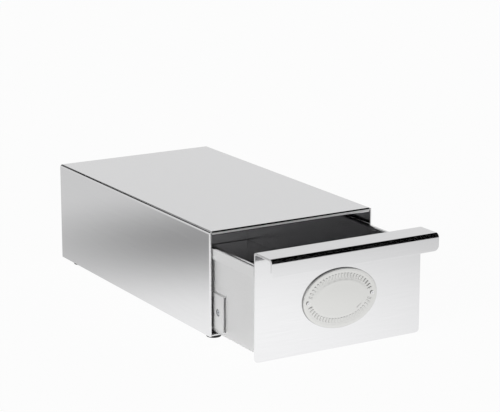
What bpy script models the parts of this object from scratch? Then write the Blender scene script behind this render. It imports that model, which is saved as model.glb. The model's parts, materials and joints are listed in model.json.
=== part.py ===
"""Coffee knock drawer: a low stainless steel cabinet with a sliding drawer that carries a
lift-out waste bin and a knock bar. Metres, +Z up, the drawer opens towards -Y.

The origin is under the middle of the whole object, with the drawer open as far as it stands at
rest. Run it with blender --background --python part.py, or from Blender's text editor.
"""
import math

import bmesh
import bpy
from mathutils import Matrix, Vector

# Driving dimensions of the cabinet
cabinet_width = 0.190
cabinet_depth = 0.340
shell_height = 0.1070
shell_gauge = 0.0020
shell_bend_radius = 0.0030
hem_height = 0.0015
hem_depth = 0.0080

# Driving dimensions of the drawer
rest_opening = 0.0840
panel_gauge = 0.0020
panel_floor_gap = 0.0010
lip_depth = 0.0300
lip_drop = 0.0175
lip_below_top = 0.0005
panel_back_bend_radius = 0.0026
lip_bend_radius = 0.0045
panel_corner_radius = 0.0040
flange_corner_radius = 0.0055
frame_gauge = 0.0010
frame_corner_radius = 0.0020
frame_floor_radius = 0.0018
frame_above_plate = 0.0007
bin_gauge = 0.0008
bin_floor_height = 0.0233
bin_corner_radius = 0.0045
bin_floor_radius = 0.0035
rim_height = 0.0940
rim_drop = 0.0123
rim_overhang = 0.0032
rim_bend_radius = 0.0015
rim_to_rear_panel = 0.0164
front_notch_below_rim = 0.0015

# Running and seating clearances
seat_gap = 0.0003
running_gap = 0.0003
web_running_gap = 0.0004
bin_side_gap = 0.0003
hole_gap = 0.0003
closed_gap = 0.0005
cut_overrun = 0.0010

# Slides: channels on the cabinet, rails and shoes on the drawer
drawer_side_space = 0.0052
channel_gauge = 0.0008
channel_front_setback = 0.0060
channel_rear_setback = 0.0100
channel_bend_radius = 0.0010
rail_height = 0.0376
rail_bottom_height = 0.0114
rail_setback = 0.0640
rail_edge_bevel = 0.0004
pad_thickness = 0.0012
pad_front_setback = 0.0080
pad_length = 0.0384
shoe_length = 0.0200
shoe_rear_setback = 0.0020
rail_screw_inset = 0.0100

# Bottom plate, rear panel and the brackets that hold it
plate_gauge = 0.0015
plate_above_edge = 0.0004
plate_flange_height = 0.0120
plate_bend_radius = 0.0020
rear_panel_gauge = 0.0015
rear_panel_corner_radius = 0.0030
bracket_gauge = 0.0015
bracket_width = 0.0160
bracket_leg = 0.0120
bracket_foot = 0.0160
bracket_bend_radius = 0.0020
bracket_side_inset = 0.0350
upper_screw_below_top = 0.0082
lower_screw_height = 0.0102

# Feet
foot_drop = 0.0030
foot_radius = 0.0075
foot_edge_radius = 0.0008
foot_side_inset = 0.0099
foot_front_inset = 0.0100
foot_rear_inset = 0.0270
foot_screw_recess = 0.0004

# Screws, nuts and studs
screw_head_radius = 0.0028
screw_head_height = 0.0016
screw_shank_radius = 0.0015
screw_socket_radius = 0.0012
screw_socket_depth = 0.0008
rear_screw_length = 0.0040
foot_head_radius = 0.0030
foot_head_height = 0.0009
foot_socket_depth = 0.0005
rail_head_radius = 0.0030
rail_head_height = 0.0015
rail_head_sink = 0.0002
stud_radius = 0.0020
nut_flat_radius = 0.0035
nut_height = 0.0028
stud_side_inset = 0.0350
stud_spacing_high = 0.0400
stud_lower_height = 0.0250

# Knock bar
bar_setback = 0.0725
bar_height = 0.0650
bar_rod_radius = 0.0040
bar_rod_end_gap = 0.0005
bar_tongue_thickness = 0.0034
bar_sleeve_radius = 0.0130
bar_sleeve_edge_radius = 0.0020
bar_sleeve_groove_depth = 0.0010
bar_sleeve_groove_width = 0.0020
bar_sleeve_groove_inset = 0.0100
bar_sleeve_end_gap = 0.0005
cradle_width = 0.0120
cradle_thickness = 0.0020
cradle_below_rim = 0.0030
cradle_under_rod = 0.0080
cradle_corner_radius = 0.0030

# Oval plate on the front panel
badge_width = 0.0845
badge_height = 0.0595
badge_thickness = 0.0020
badge_centre_height = 0.0516
badge_rim_width = 0.0025
badge_field_sink = 0.0007
badge_border_width = 0.0095
badge_step_width = 0.0008
badge_middle_rise = 0.0004
badge_pin_spacing = 0.0734
badge_pin_radius = 0.0010
badge_pin_head_radius = 0.0018
badge_pin_head_height = 0.0010

# How finely round shapes are drawn
bend_steps = 4
corner_steps = 4
hole_sides = 12
screw_steps = 12
foot_steps = 24
sleeve_steps = 28
oval_sides = 64
hex_sides = 6

# Places that follow from the driving dimensions
half_width = cabinet_width / 2
panel_reach = rest_opening + panel_gauge + lip_depth
rear_screw_reach = seat_gap + screw_head_height
cabinet_front = (panel_reach - cabinet_depth - rear_screw_reach) / 2
cabinet_back = cabinet_front + cabinet_depth
shell_base = foot_drop
shell_top = shell_base + shell_height
shell_inner_half = half_width - shell_gauge
shell_ceiling = shell_top - shell_gauge

panel_back = cabinet_front - rest_opening
panel_front = panel_back - panel_gauge
lip_front = panel_front - lip_depth
lip_top = shell_top - lip_below_top

plate_bottom = shell_base + plate_above_edge
plate_top = plate_bottom + plate_gauge
rear_panel_front = cabinet_back - rear_panel_gauge
flange_back = rear_panel_front - seat_gap

frame_outer_half = shell_inner_half - drawer_side_space
frame_inner_half = frame_outer_half - frame_gauge
frame_bottom = plate_top + frame_above_plate
frame_floor = frame_bottom + frame_gauge
closed_travel = rest_opening - closed_gap

bin_outer_half = frame_inner_half - bin_side_gap
bin_inner_half = bin_outer_half - bin_gauge
rim_outer_half = frame_outer_half + rim_overhang
rim_width = rim_outer_half - bin_inner_half
rim_back = rear_panel_front - rim_to_rear_panel - closed_travel
rim_front = panel_back + seat_gap
frame_back = rim_back - rim_overhang
frame_front = panel_back + seat_gap
frame_top = rim_height - bin_gauge - seat_gap
bin_inner_front = rim_front + rim_width
bin_inner_back = rim_back - rim_width

channel_outer_half = shell_inner_half - seat_gap
channel_web_half = channel_outer_half - channel_gauge
rail_outer_half = channel_web_half - web_running_gap
rail_inner_half = frame_outer_half + seat_gap
rail_thickness = rail_outer_half - rail_inner_half
rail_top_height = rail_bottom_height + rail_height
pad_low = rail_bottom_height - running_gap - pad_thickness
pad_high = rail_top_height + running_gap + pad_thickness
channel_floor = pad_low - seat_gap
channel_ceiling = pad_high + seat_gap
channel_tip_half = rail_inner_half
channel_start = cabinet_front + channel_front_setback
channel_end = cabinet_back - channel_rear_setback
rail_front = panel_back + rail_setback
shoe_back = frame_back - shoe_rear_setback
shoe_front = shoe_back - shoe_length
rail_back = shoe_front - seat_gap
pad_start = cabinet_front + pad_front_setback
pad_end = pad_start + pad_length

bar_place = panel_back + bar_setback
cradle_face_half = bin_inner_half - seat_gap
cradle_inner_half = cradle_face_half - cradle_thickness
tongue_start_half = cradle_inner_half - seat_gap
sleeve_half = cradle_inner_half - bar_sleeve_end_gap

half_turn = math.pi
quarter_turn = math.pi / 2
axis_turns = {
    "X": Matrix.Rotation(quarter_turn, 4, "Y"),
    "Y": Matrix.Rotation(-quarter_turn, 4, "X"),
    "Z": Matrix.Identity(4),
}
sides = {"left": -1, "right": 1}


# Scene and small helpers

def clear_scene():
    for obj in list(bpy.data.objects):
        bpy.data.objects.remove(obj, do_unlink=True)


def make_collection(name):
    made = bpy.data.collections.new(name)
    bpy.context.scene.collection.children.link(made)
    return made


def make_material(name, colour, roughness, metallic):
    made = bpy.data.materials.new(name)
    made.use_nodes = True
    shader = made.node_tree.nodes["Principled BSDF"]
    shader.inputs["Base Color"].default_value = (*colour, 1.0)
    shader.inputs["Roughness"].default_value = roughness
    shader.inputs["Metallic"].default_value = metallic
    made.diffuse_color = (*colour, 1.0)
    return made


clear_scene()
parts = make_collection("coffee_knock_drawer")
cutters = make_collection("cutters")

polished_steel = make_material("polished_steel", (0.62, 0.62, 0.63), 0.16, 1.0)
folded_steel = make_material("folded_steel", (0.55, 0.55, 0.56), 0.30, 1.0)
zinc_steel = make_material("zinc_steel", (0.48, 0.49, 0.50), 0.35, 1.0)
black_rubber = make_material("black_rubber", (0.015, 0.015, 0.016), 0.80, 0.0)
white_nylon = make_material("white_nylon", (0.78, 0.77, 0.72), 0.50, 0.0)
satin_badge = make_material("satin_badge", (0.58, 0.58, 0.58), 0.28, 1.0)


def add_object(name, data, material, location=(0.0, 0.0, 0.0)):
    obj = bpy.data.objects.new(name, data)
    parts.objects.link(obj)
    obj.location = location
    obj.data.materials.append(material)
    return obj


def add_cutter(name, mesh):
    obj = bpy.data.objects.new(name, mesh)
    cutters.objects.link(obj)
    obj.hide_render = True
    obj.display_type = "WIRE"
    return obj


def to_mesh(bm, name):
    mesh = bpy.data.meshes.new(name)
    bm.to_mesh(mesh)
    bm.free()
    return mesh


def smooth(obj, angle=math.radians(35)):
    obj.data.shade_smooth()
    obj.data.set_sharp_from_angle(angle=angle)


def add_bevel(obj, width, segments=2):
    bevel = obj.modifiers.new("rounded_edges", "BEVEL")
    bevel.width = width
    bevel.segments = segments
    bevel.limit_method = "ANGLE"
    bevel.angle_limit = math.radians(40)
    return bevel


def cut(obj, cutter, operation="DIFFERENCE"):
    boolean = obj.modifiers.new(cutter.name, "BOOLEAN")
    boolean.operation = operation
    boolean.solver = "EXACT"
    boolean.object = cutter
    return boolean


def block_mesh(name, low, high, centre):
    """A box between two corners, about its own centre."""
    size = [high[i] - low[i] for i in range(3)]
    middle = [(high[i] + low[i]) / 2 - centre[i] for i in range(3)]
    bm = bmesh.new()
    scale = Matrix.Diagonal((*size, 1.0))
    bmesh.ops.create_cube(bm, size=1.0, matrix=Matrix.Translation(middle) @ scale)
    return to_mesh(bm, name)


def add_block(name, low, high, material, bevel_width=0.0):
    centre = [(high[i] + low[i]) / 2 for i in range(3)]
    obj = add_object(name, block_mesh(name, low, high, centre), material, centre)
    if bevel_width > 0:
        add_bevel(obj, bevel_width)
    return obj


def block_cutter(name, low, high):
    return add_cutter(name, block_mesh(name, low, high, (0.0, 0.0, 0.0)))


def round_cutter(name, centres, axis, radius, length, sides_round=hole_sides):
    """One cutter with a straight round rod at each centre."""
    bm = bmesh.new()
    for centre in centres:
        matrix = Matrix.Translation(centre) @ axis_turns[axis]
        bmesh.ops.create_cone(bm, cap_ends=True, segments=sides_round, radius1=radius,
                              radius2=radius, depth=length, matrix=matrix)
    return add_cutter(name, to_mesh(bm, name))


def arc(centre, radius, start, end, steps):
    """Points from one angle to another round a centre in a plane."""
    points = []
    for step in range(steps + 1):
        angle = start + (end - start) * step / steps
        points.append((centre[0] + radius * math.cos(angle), centre[1] + radius * math.sin(angle)))
    return points


def rounded_path(corners, radii, steps=bend_steps):
    """An open path whose inner corners are turned into arcs of the given radii."""
    path = [Vector(corners[0])]
    for i in range(1, len(corners) - 1):
        here = Vector(corners[i])
        back = (Vector(corners[i - 1]) - here).normalized()
        ahead = (Vector(corners[i + 1]) - here).normalized()
        opening = back.angle(ahead)
        radius = radii[i - 1]
        tangent = radius / math.tan(opening / 2)
        centre = here + (back + ahead).normalized() * radius / math.sin(opening / 2)
        first = here + back * tangent - centre
        sweep = math.pi - opening
        turn = 1 if back.x * ahead.y - back.y * ahead.x < 0 else -1
        for step in range(steps + 1):
            angle = turn * sweep * step / steps
            spoke = Vector((first.x * math.cos(angle) - first.y * math.sin(angle),
                            first.x * math.sin(angle) + first.y * math.cos(angle)))
            path.append(centre + spoke)
    path.append(Vector(corners[-1]))
    return path


def sheet_object(name, corners, radii, gauge, start, end, plane, grow, material, round_ends=()):
    """Sheet metal folded along a path and run straight across it.

    plane is XZ for a run along Y, or YZ for a run along X. grow says on which side of the path
    the thickness lies. round_ends pairs a path end, 0 or -1, with the radius of its two corners.
    """
    path = rounded_path(corners, radii)
    run_middle = (start + end) / 2
    bm = bmesh.new()
    rows = []
    for point in path:
        row = []
        for place in (start - run_middle, end - run_middle):
            if plane == "XZ":
                row.append(bm.verts.new((point.x, place, point.y)))
            else:
                row.append(bm.verts.new((place, point.x, point.y)))
        rows.append(row)
    for first, second in zip(rows, rows[1:]):
        face = [first[0], second[0], second[1], first[1]]
        if plane == "YZ":
            face.reverse()
        bm.faces.new(face)
    for row_index, radius in round_ends:
        corner_verts = [v for v in rows[row_index] if v.is_valid]
        bmesh.ops.bevel(bm, geom=corner_verts, offset=radius, segments=corner_steps,
                        profile=0.5, affect="VERTICES")
    mesh = to_mesh(bm, name)
    location = (0.0, run_middle, 0.0) if plane == "XZ" else (run_middle, 0.0, 0.0)
    obj = add_object(name, mesh, material, location)
    solidify = obj.modifiers.new("sheet_gauge", "SOLIDIFY")
    solidify.thickness = gauge
    solidify.offset = 1.0 if grow == "left" else -1.0
    solidify.use_even_offset = True
    smooth(obj)
    return obj


def rounded_plate(bm, half_x, half_y, radius, height):
    """One flat face with four round corners, facing up."""
    corners = [(-half_x, -half_y), (half_x, -half_y), (half_x, half_y), (-half_x, half_y)]
    verts = [bm.verts.new((x, y, height)) for x, y in corners]
    face = bm.faces.new(verts)
    bmesh.ops.bevel(bm, geom=verts, offset=radius, segments=corner_steps, profile=0.5,
                    affect="VERTICES")
    return face if face.is_valid else bm.faces[:][0]


def edges_at_height(bm, height):
    tolerance = 1e-6
    return [e for e in bm.edges if all(abs(v.co.z - height) < tolerance for v in e.verts)]


def pan_object(name, half_x, front, back, floor, top, corner_radius, floor_radius, gauge,
               material, outer_rim=0.0, drop=0.0, rim_radius=0.0):
    """A folded open box, given by its inside, with an optional rim turned out and down.

    The skin is the inner face of the walls and the upper face of the rim.
    """
    middle = (front + back) / 2
    half_y = (back - front) / 2
    depth = top - floor
    bm = bmesh.new()
    outline = rounded_plate(bm, half_x + outer_rim, half_y + outer_rim,
                            corner_radius + outer_rim, depth)
    if outer_rim > 0:
        bmesh.ops.inset_region(bm, faces=[outline], thickness=outer_rim, use_even_offset=True,
                               use_boundary=True)
    sunk = bmesh.ops.extrude_discrete_faces(bm, faces=[outline])["faces"][0]
    bmesh.ops.translate(bm, vec=(0.0, 0.0, -depth), verts=sunk.verts[:])
    if drop > 0:
        border = [e for e in edges_at_height(bm, depth) if len(e.link_faces) == 1]
        lowered = bmesh.ops.extrude_edge_only(bm, edges=border)["geom"]
        verts = [item for item in lowered if isinstance(item, bmesh.types.BMVert)]
        bmesh.ops.translate(bm, vec=(0.0, 0.0, -drop), verts=verts)
    bmesh.ops.bevel(bm, geom=sunk.edges[:], offset=floor_radius, segments=bend_steps,
                    profile=0.5, affect="EDGES")
    if drop > 0:
        folds = [e for e in edges_at_height(bm, depth)
                 if len(e.link_faces) == 2 and e.calc_face_angle() > math.radians(60)]
        bmesh.ops.bevel(bm, geom=folds, offset=rim_radius, segments=bend_steps - 1,
                        profile=0.5, affect="EDGES")
    obj = add_object(name, to_mesh(bm, name), material, (0.0, middle, floor))
    solidify = obj.modifiers.new("sheet_gauge", "SOLIDIFY")
    solidify.thickness = gauge
    solidify.offset = -1.0
    solidify.use_even_offset = True
    smooth(obj)
    return obj


def turned_object(name, profile, steps, material):
    """A solid turned about its own Z from a profile of (radius, height), top to bottom."""
    bm = bmesh.new()
    verts = [bm.verts.new((radius, 0.0, height)) for radius, height in profile]
    for first, second in zip(verts, verts[1:]):
        bm.edges.new((first, second))
    obj = add_object(name, to_mesh(bm, name), material)
    screw = obj.modifiers.new("turned", "SCREW")
    screw.axis = "Z"
    screw.angle = 2 * math.pi
    screw.steps = steps
    screw.render_steps = steps
    screw.use_merge_vertices = True
    screw.merge_threshold = 0.00001
    smooth(obj)
    return obj


def evaluated_mesh(obj):
    bpy.context.view_layer.update()
    depsgraph = bpy.context.evaluated_depsgraph_get()
    return bpy.data.meshes.new_from_object(obj.evaluated_get(depsgraph))


def place_copies(source, placements):
    """One object for each named matrix, all sharing the finished mesh of a source."""
    mesh = evaluated_mesh(source)
    if not mesh.materials:
        mesh.materials.append(source.data.materials[0])
    bpy.data.objects.remove(source, do_unlink=True)
    made = []
    for name, matrix in placements.items():
        obj = bpy.data.objects.new(name, mesh)
        parts.objects.link(obj)
        obj.matrix_world = matrix
        made.append(obj)
    return made


def outline_object(name, loops, half_thickness, turn, location, material):
    """A flat plate: a filled outline with holes, given by its loops of points."""
    curve = bpy.data.curves.new(name, "CURVE")
    curve.dimensions = "2D"
    curve.fill_mode = "BOTH"
    curve.extrude = half_thickness
    for loop in loops:
        spline = curve.splines.new("POLY")
        spline.points.add(len(loop) - 1)
        for point, (x, y) in zip(spline.points, loop):
            point.co = (x, y, 0.0, 1.0)
        spline.use_cyclic_u = True
    obj = add_object(name, curve, material, location)
    obj.rotation_euler = turn
    return obj


def rounded_rectangle(half_x, half_y, radius, steps=corner_steps):
    loop = []
    corners = [(half_x, half_y, 0.0), (-half_x, half_y, quarter_turn),
               (-half_x, -half_y, half_turn), (half_x, -half_y, half_turn + quarter_turn)]
    for x, y, start in corners:
        centre = (x - math.copysign(radius, x), y - math.copysign(radius, y))
        loop += arc(centre, radius, start, start + quarter_turn, steps)
    return loop


def hole_loop(centre, radius):
    full = arc(centre, radius, 0.0, -2 * math.pi, hole_sides)
    return full[:-1]


def headed_screw(name, head_radius, head_height, shank_radius, shank_length, domed, material):
    """A screw about its own Z, head up, with the underside of its head at height 0."""
    edge = head_height / 2 if domed else head_height
    crown_radius = head_radius / 2 if domed else head_radius
    profile = [(0.0, head_height), (crown_radius, head_height), (head_radius, edge),
               (head_radius, 0.0), (shank_radius, 0.0), (shank_radius, -shank_length),
               (0.0, -shank_length)]
    if not domed:
        profile.pop(1)
    return turned_object(name, profile, screw_steps, material)


def cut_socket(obj, name, radius, top, depth):
    """A hexagonal socket sunk into the top of a screw that is still at the origin."""
    length = depth + cut_overrun
    centre = (0.0, 0.0, top - depth + length / 2)
    cut(obj, round_cutter(name, [centre], "Z", radius, length, hex_sides))


# Cabinet

def make_shell():
    corners = [(-half_width, shell_base), (-half_width, shell_top),
               (half_width, shell_top), (half_width, shell_base)]
    radii = [shell_bend_radius, shell_bend_radius]
    shell = sheet_object("cabinet_shell", corners, radii, shell_gauge, cabinet_front,
                         cabinet_back, "XZ", "right", polished_steel)
    hem_half = half_width - shell_bend_radius
    hem = block_cutter("turned_in_front_edge",
                       (-hem_half, cabinet_front, shell_ceiling - hem_height),
                       (hem_half, cabinet_front + hem_depth, shell_ceiling + shell_gauge / 2))
    cut(shell, hem, "UNION")
    return shell


def foot_places():
    across = half_width - foot_side_inset
    front = cabinet_front + foot_front_inset
    rear = cabinet_back - foot_rear_inset
    return {
        "front_left": (-across, front),
        "front_right": (across, front),
        "rear_left": (-across, rear),
        "rear_right": (across, rear),
    }


def rear_screw_places():
    """Screws near the top hold the brackets, and those below hold the plate's flange."""
    across = half_width - bracket_side_inset
    heights = {"upper": shell_top - upper_screw_below_top, "lower": lower_screw_height}
    return {level + "_" + side_name: (side * across, height)
            for level, height in heights.items() for side_name, side in sides.items()}


def make_bottom_plate():
    front = cabinet_front + seat_gap
    corners = [(front, plate_bottom), (flange_back, plate_bottom),
               (flange_back, plate_bottom + plate_flange_height)]
    half = shell_inner_half - seat_gap
    plate = sheet_object("bottom_plate", corners, [plate_bend_radius], plate_gauge, -half, half,
                         "YZ", "left", folded_steel)
    hole_radius = screw_shank_radius + hole_gap
    feet = [(x, y, plate_bottom) for x, y in foot_places().values()]
    cut(plate, round_cutter("foot_screw_holes", feet, "Z", hole_radius, plate_gauge * 4))
    lower = [(x, flange_back, z) for place, (x, z) in rear_screw_places().items()
             if place.startswith("lower")]
    cut(plate, round_cutter("flange_screw_holes", lower, "Y", hole_radius, plate_gauge * 4))
    return plate


def make_rear_panel():
    low = plate_bottom
    high = shell_ceiling - seat_gap
    half_x = shell_inner_half - seat_gap
    half_z = (high - low) / 2
    middle = (high + low) / 2
    loops = [rounded_rectangle(half_x, half_z, rear_panel_corner_radius)]
    for x, z in rear_screw_places().values():
        loops.append(hole_loop((x, z - middle), screw_shank_radius + hole_gap))
    place = (0.0, cabinet_back - rear_panel_gauge / 2, middle)
    return outline_object("rear_panel", loops, rear_panel_gauge / 2, (quarter_turn, 0.0, 0.0),
                          place, polished_steel)


def make_rear_brackets():
    top = shell_ceiling - seat_gap
    corners = [(flange_back, top - bracket_leg), (flange_back, top),
               (flange_back - bracket_foot, top)]
    one = sheet_object("rear_bracket", corners, [bracket_bend_radius], bracket_gauge,
                       -bracket_width / 2, bracket_width / 2, "YZ", "left", folded_steel)
    hole = (0.0, flange_back, shell_top - upper_screw_below_top)
    cut(one, round_cutter("bracket_hole", [hole], "Y", screw_shank_radius + hole_gap,
                          bracket_gauge * 4))
    across = half_width - bracket_side_inset
    return place_copies(one, {
        "rear_bracket_" + side_name: Matrix.Translation((side * across, 0.0, 0.0))
        for side_name, side in sides.items()})


def make_rear_screws():
    one = headed_screw("rear_screw", screw_head_radius, screw_head_height, screw_shank_radius,
                       rear_screw_length, True, zinc_steel)
    cut_socket(one, "rear_screw_socket", screw_socket_radius, screw_head_height,
               screw_socket_depth)
    seat = cabinet_back + seat_gap
    return place_copies(one, {
        "rear_screw_" + place: Matrix.Translation((x, seat, z)) @ axis_turns["Y"]
        for place, (x, z) in rear_screw_places().items()})


def side_limits(side, inner_half, outer_half):
    """The lower and the higher place of what lies between two distances from the middle."""
    return min(side * inner_half, side * outer_half), max(side * inner_half, side * outer_half)


def make_channel(side_name):
    side = sides[side_name]
    low = channel_floor - channel_gauge
    high = channel_ceiling + channel_gauge
    corners = [(side * channel_tip_half, low), (side * channel_outer_half, low),
               (side * channel_outer_half, high), (side * channel_tip_half, high)]
    radii = [channel_bend_radius, channel_bend_radius]
    grow = "right" if side < 0 else "left"
    return sheet_object("guide_channel_" + side_name, corners, radii, channel_gauge,
                        channel_start, channel_end, "XZ", grow, folded_steel)


def make_pads(side_name):
    """A lower and an upper nylon strip at the front of the channel, for the rail to run on."""
    low_x, high_x = side_limits(sides[side_name], channel_tip_half + seat_gap,
                                channel_web_half - seat_gap)
    bottoms = {"lower": pad_low, "upper": pad_high - pad_thickness}
    for level, bottom in bottoms.items():
        add_block("glide_pad_" + level + "_" + side_name, (low_x, pad_start, bottom),
                  (high_x, pad_end, bottom + pad_thickness), white_nylon)


def make_foot(corner, x, y):
    top = plate_bottom - seat_gap
    hole = screw_shank_radius + hole_gap
    recess = foot_head_radius + hole_gap
    shelf = foot_screw_recess + foot_head_height + hole_gap
    rounding = arc((foot_radius - foot_edge_radius, foot_edge_radius), foot_edge_radius, 0.0,
                   -quarter_turn, bend_steps)
    profile = [(hole, top), (foot_radius, top)] + rounding
    profile += [(recess, 0.0), (recess, shelf), (hole, shelf), (hole, top)]
    foot = turned_object("foot_" + corner, profile, foot_steps, black_rubber)
    foot.location = (x, y, 0.0)
    return foot


def make_foot_screws():
    length = plate_top - foot_screw_recess - foot_head_height
    one = headed_screw("foot_screw", foot_head_radius, foot_head_height, screw_shank_radius,
                       length, False, zinc_steel)
    cut_socket(one, "foot_screw_socket", screw_socket_radius, foot_head_height,
               foot_socket_depth)
    seat = foot_screw_recess + foot_head_height
    turn = Matrix.Rotation(half_turn, 4, "X")
    return place_copies(one, {
        "foot_screw_" + corner: Matrix.Translation((x, y, seat)) @ turn
        for corner, (x, y) in foot_places().items()})


def make_cabinet():
    make_shell()
    make_bottom_plate()
    make_rear_panel()
    make_rear_brackets()
    make_rear_screws()
    for side_name in sides:
        make_channel(side_name)
        make_pads(side_name)
    for corner, (x, y) in foot_places().items():
        make_foot(corner, x, y)
    make_foot_screws()


# Drawer

def rail_screw_places():
    """Places along Y: two ends and the middle of the rail, then the middle of the shoe."""
    first = rail_front + rail_screw_inset
    last = rail_back - rail_screw_inset
    return [first, (first + last) / 2, last, (shoe_front + shoe_back) / 2]


def stud_places():
    across = half_width - stud_side_inset
    heights = {"lower": stud_lower_height, "upper": stud_lower_height + stud_spacing_high}
    return {level + "_" + side_name: (side * across, height)
            for level, height in heights.items() for side_name, side in sides.items()}


def make_frame():
    frame = pan_object("drawer_frame", frame_inner_half, frame_front + frame_gauge,
                       frame_back - frame_gauge, frame_floor, frame_top, frame_corner_radius,
                       frame_floor_radius, frame_gauge, folded_steel)
    notch_low = rim_height - rim_drop - front_notch_below_rim
    notch = block_cutter("front_notch",
                         (-half_width, frame_front - cut_overrun, notch_low),
                         (half_width, rim_front + bin_corner_radius + rim_width,
                          frame_top + cut_overrun))
    cut(frame, notch)
    middle = rail_bottom_height + rail_height / 2
    holes = [(side * frame_outer_half, y, middle) for side in sides.values()
             for y in rail_screw_places()]
    cut(frame, round_cutter("rail_screw_holes", holes, "X", screw_shank_radius + hole_gap,
                            frame_gauge * 4))
    studs = [(x, frame_front, z) for x, z in stud_places().values()]
    cut(frame, round_cutter("stud_holes", studs, "Y", stud_radius + hole_gap, frame_gauge * 4))
    return frame


def make_front_panel():
    corners = [(panel_back, panel_floor_gap), (panel_back, lip_top), (lip_front, lip_top),
               (lip_front, lip_top - lip_drop)]
    panel = sheet_object("front_panel", corners, [panel_back_bend_radius, lip_bend_radius],
                         panel_gauge, -half_width, half_width, "YZ", "left", polished_steel,
                         ((0, panel_corner_radius), (-1, flange_corner_radius)))
    reach = frame_gauge + seat_gap + nut_height
    depth = panel_gauge / 2
    length = reach + seat_gap + depth
    middle = panel_back - depth + length / 2
    studs = [(x, middle, z) for x, z in stud_places().values()]
    cut(panel, round_cutter("panel_studs", studs, "Y", stud_radius, length), "UNION")
    pins = [(side * badge_pin_spacing / 2, panel_back, badge_centre_height)
            for side in sides.values()]
    cut(panel, round_cutter("pin_holes", pins, "Y", badge_pin_radius + hole_gap,
                            panel_gauge * 4))
    return panel


def make_panel_nuts():
    loops = [arc((0.0, 0.0), nut_flat_radius / math.cos(half_turn / hex_sides), 0.0,
                 2 * half_turn, hex_sides)[:-1],
             hole_loop((0.0, 0.0), stud_radius + hole_gap)]
    flat = outline_object("nut_outline", loops, nut_height / 2, (0.0, 0.0, 0.0),
                          (0.0, 0.0, 0.0), zinc_steel)
    mesh = evaluated_mesh(flat)
    bpy.data.objects.remove(flat, do_unlink=True)
    bm = bmesh.new()
    bm.from_mesh(mesh)
    bmesh.ops.remove_doubles(bm, verts=bm.verts[:], dist=0.00001)
    nut = add_object("nut", to_mesh(bm, "nut"), zinc_steel)
    seat = frame_front + frame_gauge + seat_gap / 2
    middle = seat + nut_height / 2
    return place_copies(nut, {
        "panel_nut_" + place: Matrix.Translation((x, middle, z)) @ axis_turns["Y"]
        for place, (x, z) in stud_places().items()})


def screw_pockets(name, side, places):
    """Countersinks from the outer face, and clear holes through what they pass."""
    middle = rail_bottom_height + rail_height / 2
    bm = bmesh.new()
    depth = rail_head_height + rail_head_sink
    outer = side * (rail_outer_half + cut_overrun / 2)
    inner = side * (rail_outer_half - depth)
    hole = screw_shank_radius + hole_gap
    head = rail_head_radius + hole_gap
    for y in places:
        centre = Vector(((outer + inner) / 2, y, middle))
        matrix = Matrix.Translation(centre) @ axis_turns["X"]
        bmesh.ops.create_cone(bm, cap_ends=True, segments=hole_sides, radius1=head,
                              radius2=head, depth=abs(outer - inner), matrix=matrix)
    pocket = add_cutter(name + "_heads", to_mesh(bm, name + "_heads"))
    centres = [(side * rail_inner_half, y, middle) for y in places]
    through = round_cutter(name + "_holes", centres, "X", hole, rail_thickness * 3)
    return [pocket, through]


def make_rail(side_name):
    side = sides[side_name]
    low_x, high_x = side_limits(side, rail_inner_half, rail_outer_half)
    rail = add_block("slide_rail_" + side_name, (low_x, rail_front, rail_bottom_height),
                     (high_x, rail_back, rail_top_height), folded_steel, rail_edge_bevel)
    for cutter in screw_pockets("rail_" + side_name, side, rail_screw_places()[:-1]):
        cut(rail, cutter)
    return rail


def make_shoe(side_name):
    """The nylon shoe at the rear of a rail fills the channel and meets the pads at full travel."""
    side = sides[side_name]
    low_x, high_x = side_limits(side, rail_inner_half, rail_outer_half)
    shoe = add_block("rail_shoe_" + side_name, (low_x, shoe_front, channel_floor + running_gap),
                     (high_x, shoe_back, channel_ceiling - running_gap), white_nylon,
                     rail_edge_bevel)
    for cutter in screw_pockets("shoe_" + side_name, side, rail_screw_places()[-1:]):
        cut(shoe, cutter)
    return shoe


def make_rail_screws(side_name):
    side = sides[side_name]
    seat = rail_outer_half - rail_head_sink - rail_head_height
    length = seat - frame_inner_half
    one = headed_screw("rail_screw", rail_head_radius, rail_head_height - hole_gap,
                       screw_shank_radius, length, True, zinc_steel)
    cut_socket(one, "rail_screw_socket_" + side_name, screw_socket_radius,
               rail_head_height - hole_gap, screw_socket_depth)
    middle = rail_bottom_height + rail_height / 2
    turn = axis_turns["X"] if side > 0 else Matrix.Rotation(-quarter_turn, 4, "Y")
    lifted = seat + seat_gap / 2
    return place_copies(one, {
        f"rail_screw_{side_name}_{number}": Matrix.Translation((side * lifted, y, middle)) @ turn
        for number, y in enumerate(rail_screw_places(), 1)})


def make_bin():
    return pan_object("waste_bin", bin_inner_half, bin_inner_front, bin_inner_back,
                      bin_floor_height, rim_height, bin_corner_radius, bin_floor_radius,
                      bin_gauge, polished_steel, rim_width, rim_drop, rim_bend_radius)


def make_cradle(side_name):
    """An upright plate on the bin's wall, with a narrow slot from its top for the rod's tongue."""
    side = sides[side_name]
    slot = bar_tongue_thickness / 2 + hole_gap
    slot_bottom = -(bar_rod_radius + hole_gap)
    half = cradle_width / 2
    top = rim_height - cradle_below_rim - bar_height
    bottom = -(bar_rod_radius + cradle_under_rod)
    radius = cradle_corner_radius
    loop = [(-half, top)]
    loop += arc((-half + radius, bottom + radius), radius, half_turn,
                half_turn + quarter_turn, corner_steps)
    loop += arc((half - radius, bottom + radius), radius, -quarter_turn, 0.0, corner_steps)
    loop += [(half, top), (slot, top), (slot, slot_bottom), (-slot, slot_bottom), (-slot, top)]
    place = (side * (cradle_face_half - cradle_thickness / 2), bar_place, bar_height)
    return outline_object("knock_bar_cradle_" + side_name, [loop], cradle_thickness / 2,
                          (quarter_turn, 0.0, quarter_turn), place, polished_steel)


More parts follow.
